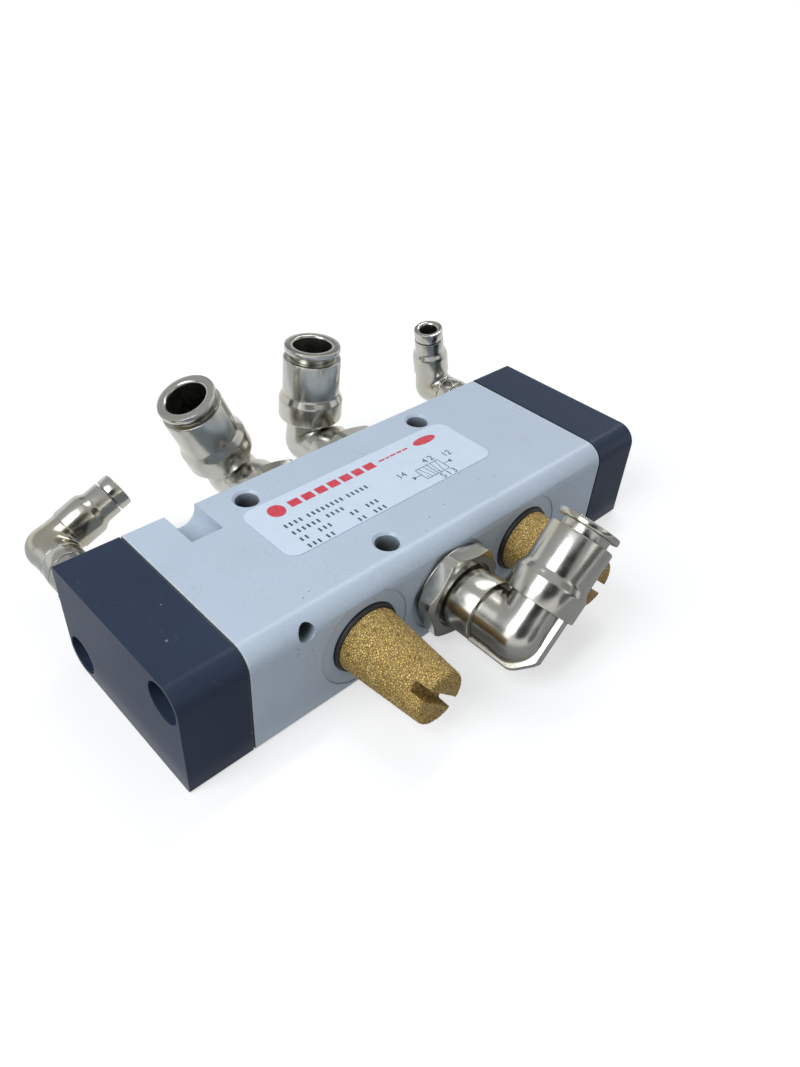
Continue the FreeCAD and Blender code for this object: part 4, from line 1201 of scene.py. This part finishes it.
symbol = bmesh.new()
add_plates(symbol, [stroke(LEFT, TOP, RIGHT, TOP), stroke(LEFT, BOTTOM, RIGHT, BOTTOM),
                    stroke(LEFT, BOTTOM, LEFT, TOP), stroke(MIDDLE, BOTTOM, MIDDLE, TOP),
                    stroke(RIGHT, BOTTOM, RIGHT, TOP)])
for side, start in ((1, LEFT), (-1, RIGHT)):
    middle = start + side * (MIDDLE - LEFT) / 2
    line_end, tip = start - side * PILOT_LINE, start - side * PILOT_TIP
    triangle = np.array([(line_end, PILOT_LEVEL), (tip, PILOT_LEVEL - PILOT_HALF),
                         (tip, PILOT_LEVEL + PILOT_HALF)])
    shut_low = BOTTOM + SHUT_RISE
    add_plates(symbol, [stroke(middle + side * low, BOTTOM, middle + side * high, TOP, THIN_STROKE)
                        for low, high in PATHS])
    add_plates(symbol, [bar(middle + SHUT_FROM, middle + SHUT_TO, shut_low, shut_low + THIN_STROKE),
                        stroke(start, PILOT_LEVEL, line_end, PILOT_LEVEL, THIN_STROKE), triangle[::side]])
for text, x, y in FIGURES:
    add_numeral(symbol, text, x, y, FIGURE_HEIGHT)
show_print("symbol_print", symbol, dark_ink)

# %% [markdown]
# Shapes and finishes of the fittings now meet. Each could be placed by hand, but the frame's joints
# already say where an elbow's corner is and which way its arm points. Seated by them, it turns about
# the same axis as in the construction.

# %% Elbows, adapters and collets in place
make_elbows(finishes["nickel"])
make_adapters(finishes["turned_nickel"], finishes["seat_washer"])
make_collets(finishes["turned_nickel"])

# %% [markdown]
# The silencers are cones of bronze beads, fused in a mould. The beads are about 0.4 mm across and
# give the cone its rough outline, so they are geometry: the cone is remeshed finely, and each point
# sinks by its distance from the nearest bead's middle. Beads modelled one by one would take millions
# of faces for the same look.

# %% Silencers
BEAD = 0.43
BEAD_DEPTH = 0.15
BEAD_REACH = 0.78
SHAKE = 0.7
REMESH = 0.00016
HASH_TABLE = np.array([[127.1, 269.5, 419.2], [311.7, 183.3, 371.9], [74.7, 246.1, 168.2]])
HASH_STRETCH = 43758.5453
UNBROKEN = math.radians(180)
SILENCERS = {"silencer_port_5": "left_silencer", "silencer_port_3": "right_silencer"}


def bead_height(points, spacing):
    """Height from 0, between beads, to 1, on top of one. The middles of the beads are a lattice
    shaken by a hash of each cell. The height falls with the distance to the nearest as a ball does."""
    cell = np.floor(points / spacing)
    nearest = np.full(len(points), np.inf)
    for shift in np.ndindex(3, 3, 3):
        corner = cell + np.array(shift) - 1
        lot = np.abs(np.sin(corner @ HASH_TABLE) * HASH_STRETCH) % 1.0
        middle = (corner + (1 - SHAKE) / 2 + SHAKE * lot) * spacing
        nearest = np.minimum(nearest, np.linalg.norm(points - middle, axis=1))
    return np.sqrt(np.clip(1 - (nearest / (BEAD_REACH * spacing)) ** 2, 0, 1))


def grained_silencer(node_name, name):
    """Remeshes a cone finely and sinks it between the beads."""
    block = add_object(name + "_block", merged_copy(node_name))
    remesh = block.modifiers.new("fine", "REMESH")
    remesh.mode = "VOXEL"
    remesh.voxel_size = REMESH
    depsgraph = bpy.context.evaluated_depsgraph_get()
    fine = bpy.data.meshes.new_from_object(block.evaluated_get(depsgraph))
    bpy.data.objects.remove(block)
    count = len(fine.vertices)
    points = np.empty(count * 3, np.float32)
    normals = np.empty(count * 3, np.float32)
    fine.vertices.foreach_get("co", points)
    fine.vertex_normals.foreach_get("vector", normals)
    points = points.reshape(-1, 3) / MM
    height = bead_height(points.astype(float), BEAD)
    points = points + normals.reshape(-1, 3) * ((height - 1) * BEAD_DEPTH)[:, None]
    fine.vertices.foreach_set("co", (points * MM).astype(np.float32).ravel())
    fine.attributes.new("grain", "FLOAT", "POINT").data.foreach_set("value", height.astype(np.float32))
    fine.update()
    show_piece(name, fine, finishes["sintered_bronze"], node_name, UNBROKEN)
    print(name, len(fine.polygons), "faces")


for node_name, name in SILENCERS.items():
    grained_silencer(node_name, name)

# %% [markdown]
# A dark smooth ring shows in the photograph between each cone and the mouth of its port: the seal
# that the cone is screwed down on. It could be a colour on the cone, but light shows its round back.
# It is a turned ring that starts in the mouth's chamfer and ends a little over half a millimetre above
# the block, where the cone's beads begin to show.

# %% Seals under the silencers
SEAL_RING = [(-0.25, 6.50, 0.05), (-0.25, 6.78, 0.05), (0.12, 7.00, 0.05), (0.35, 7.00, 0.20),
             (0.84, 6.76, 0.12), (0.84, 6.40, 0.05)]
SEAT_DEPTH = 0.2


def silencer_seal(node_name, name):
    """A ring round the foot of a cone. Its seat lies a little inside the block's front."""
    low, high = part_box(node_name)
    seat = ((low.x + high.x) / 2 / MM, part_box("valve_body")[0].y / MM + SEAT_DEPTH, PORT_LEVEL / MM)
    mesh = mesh_from_grid(name, seated(turned_grid(rounded(SEAL_RING)), seat, (0, -1, 0), (1, 0, 0)))
    add_piece(name, mesh, finishes["seal_rubber"], node_name)
    print(name, len(mesh.polygons), "faces, seat at", [round(value, 3) for value in seat])


for node_name, name in SILENCERS.items():
    silencer_seal(node_name, name + "_seal")
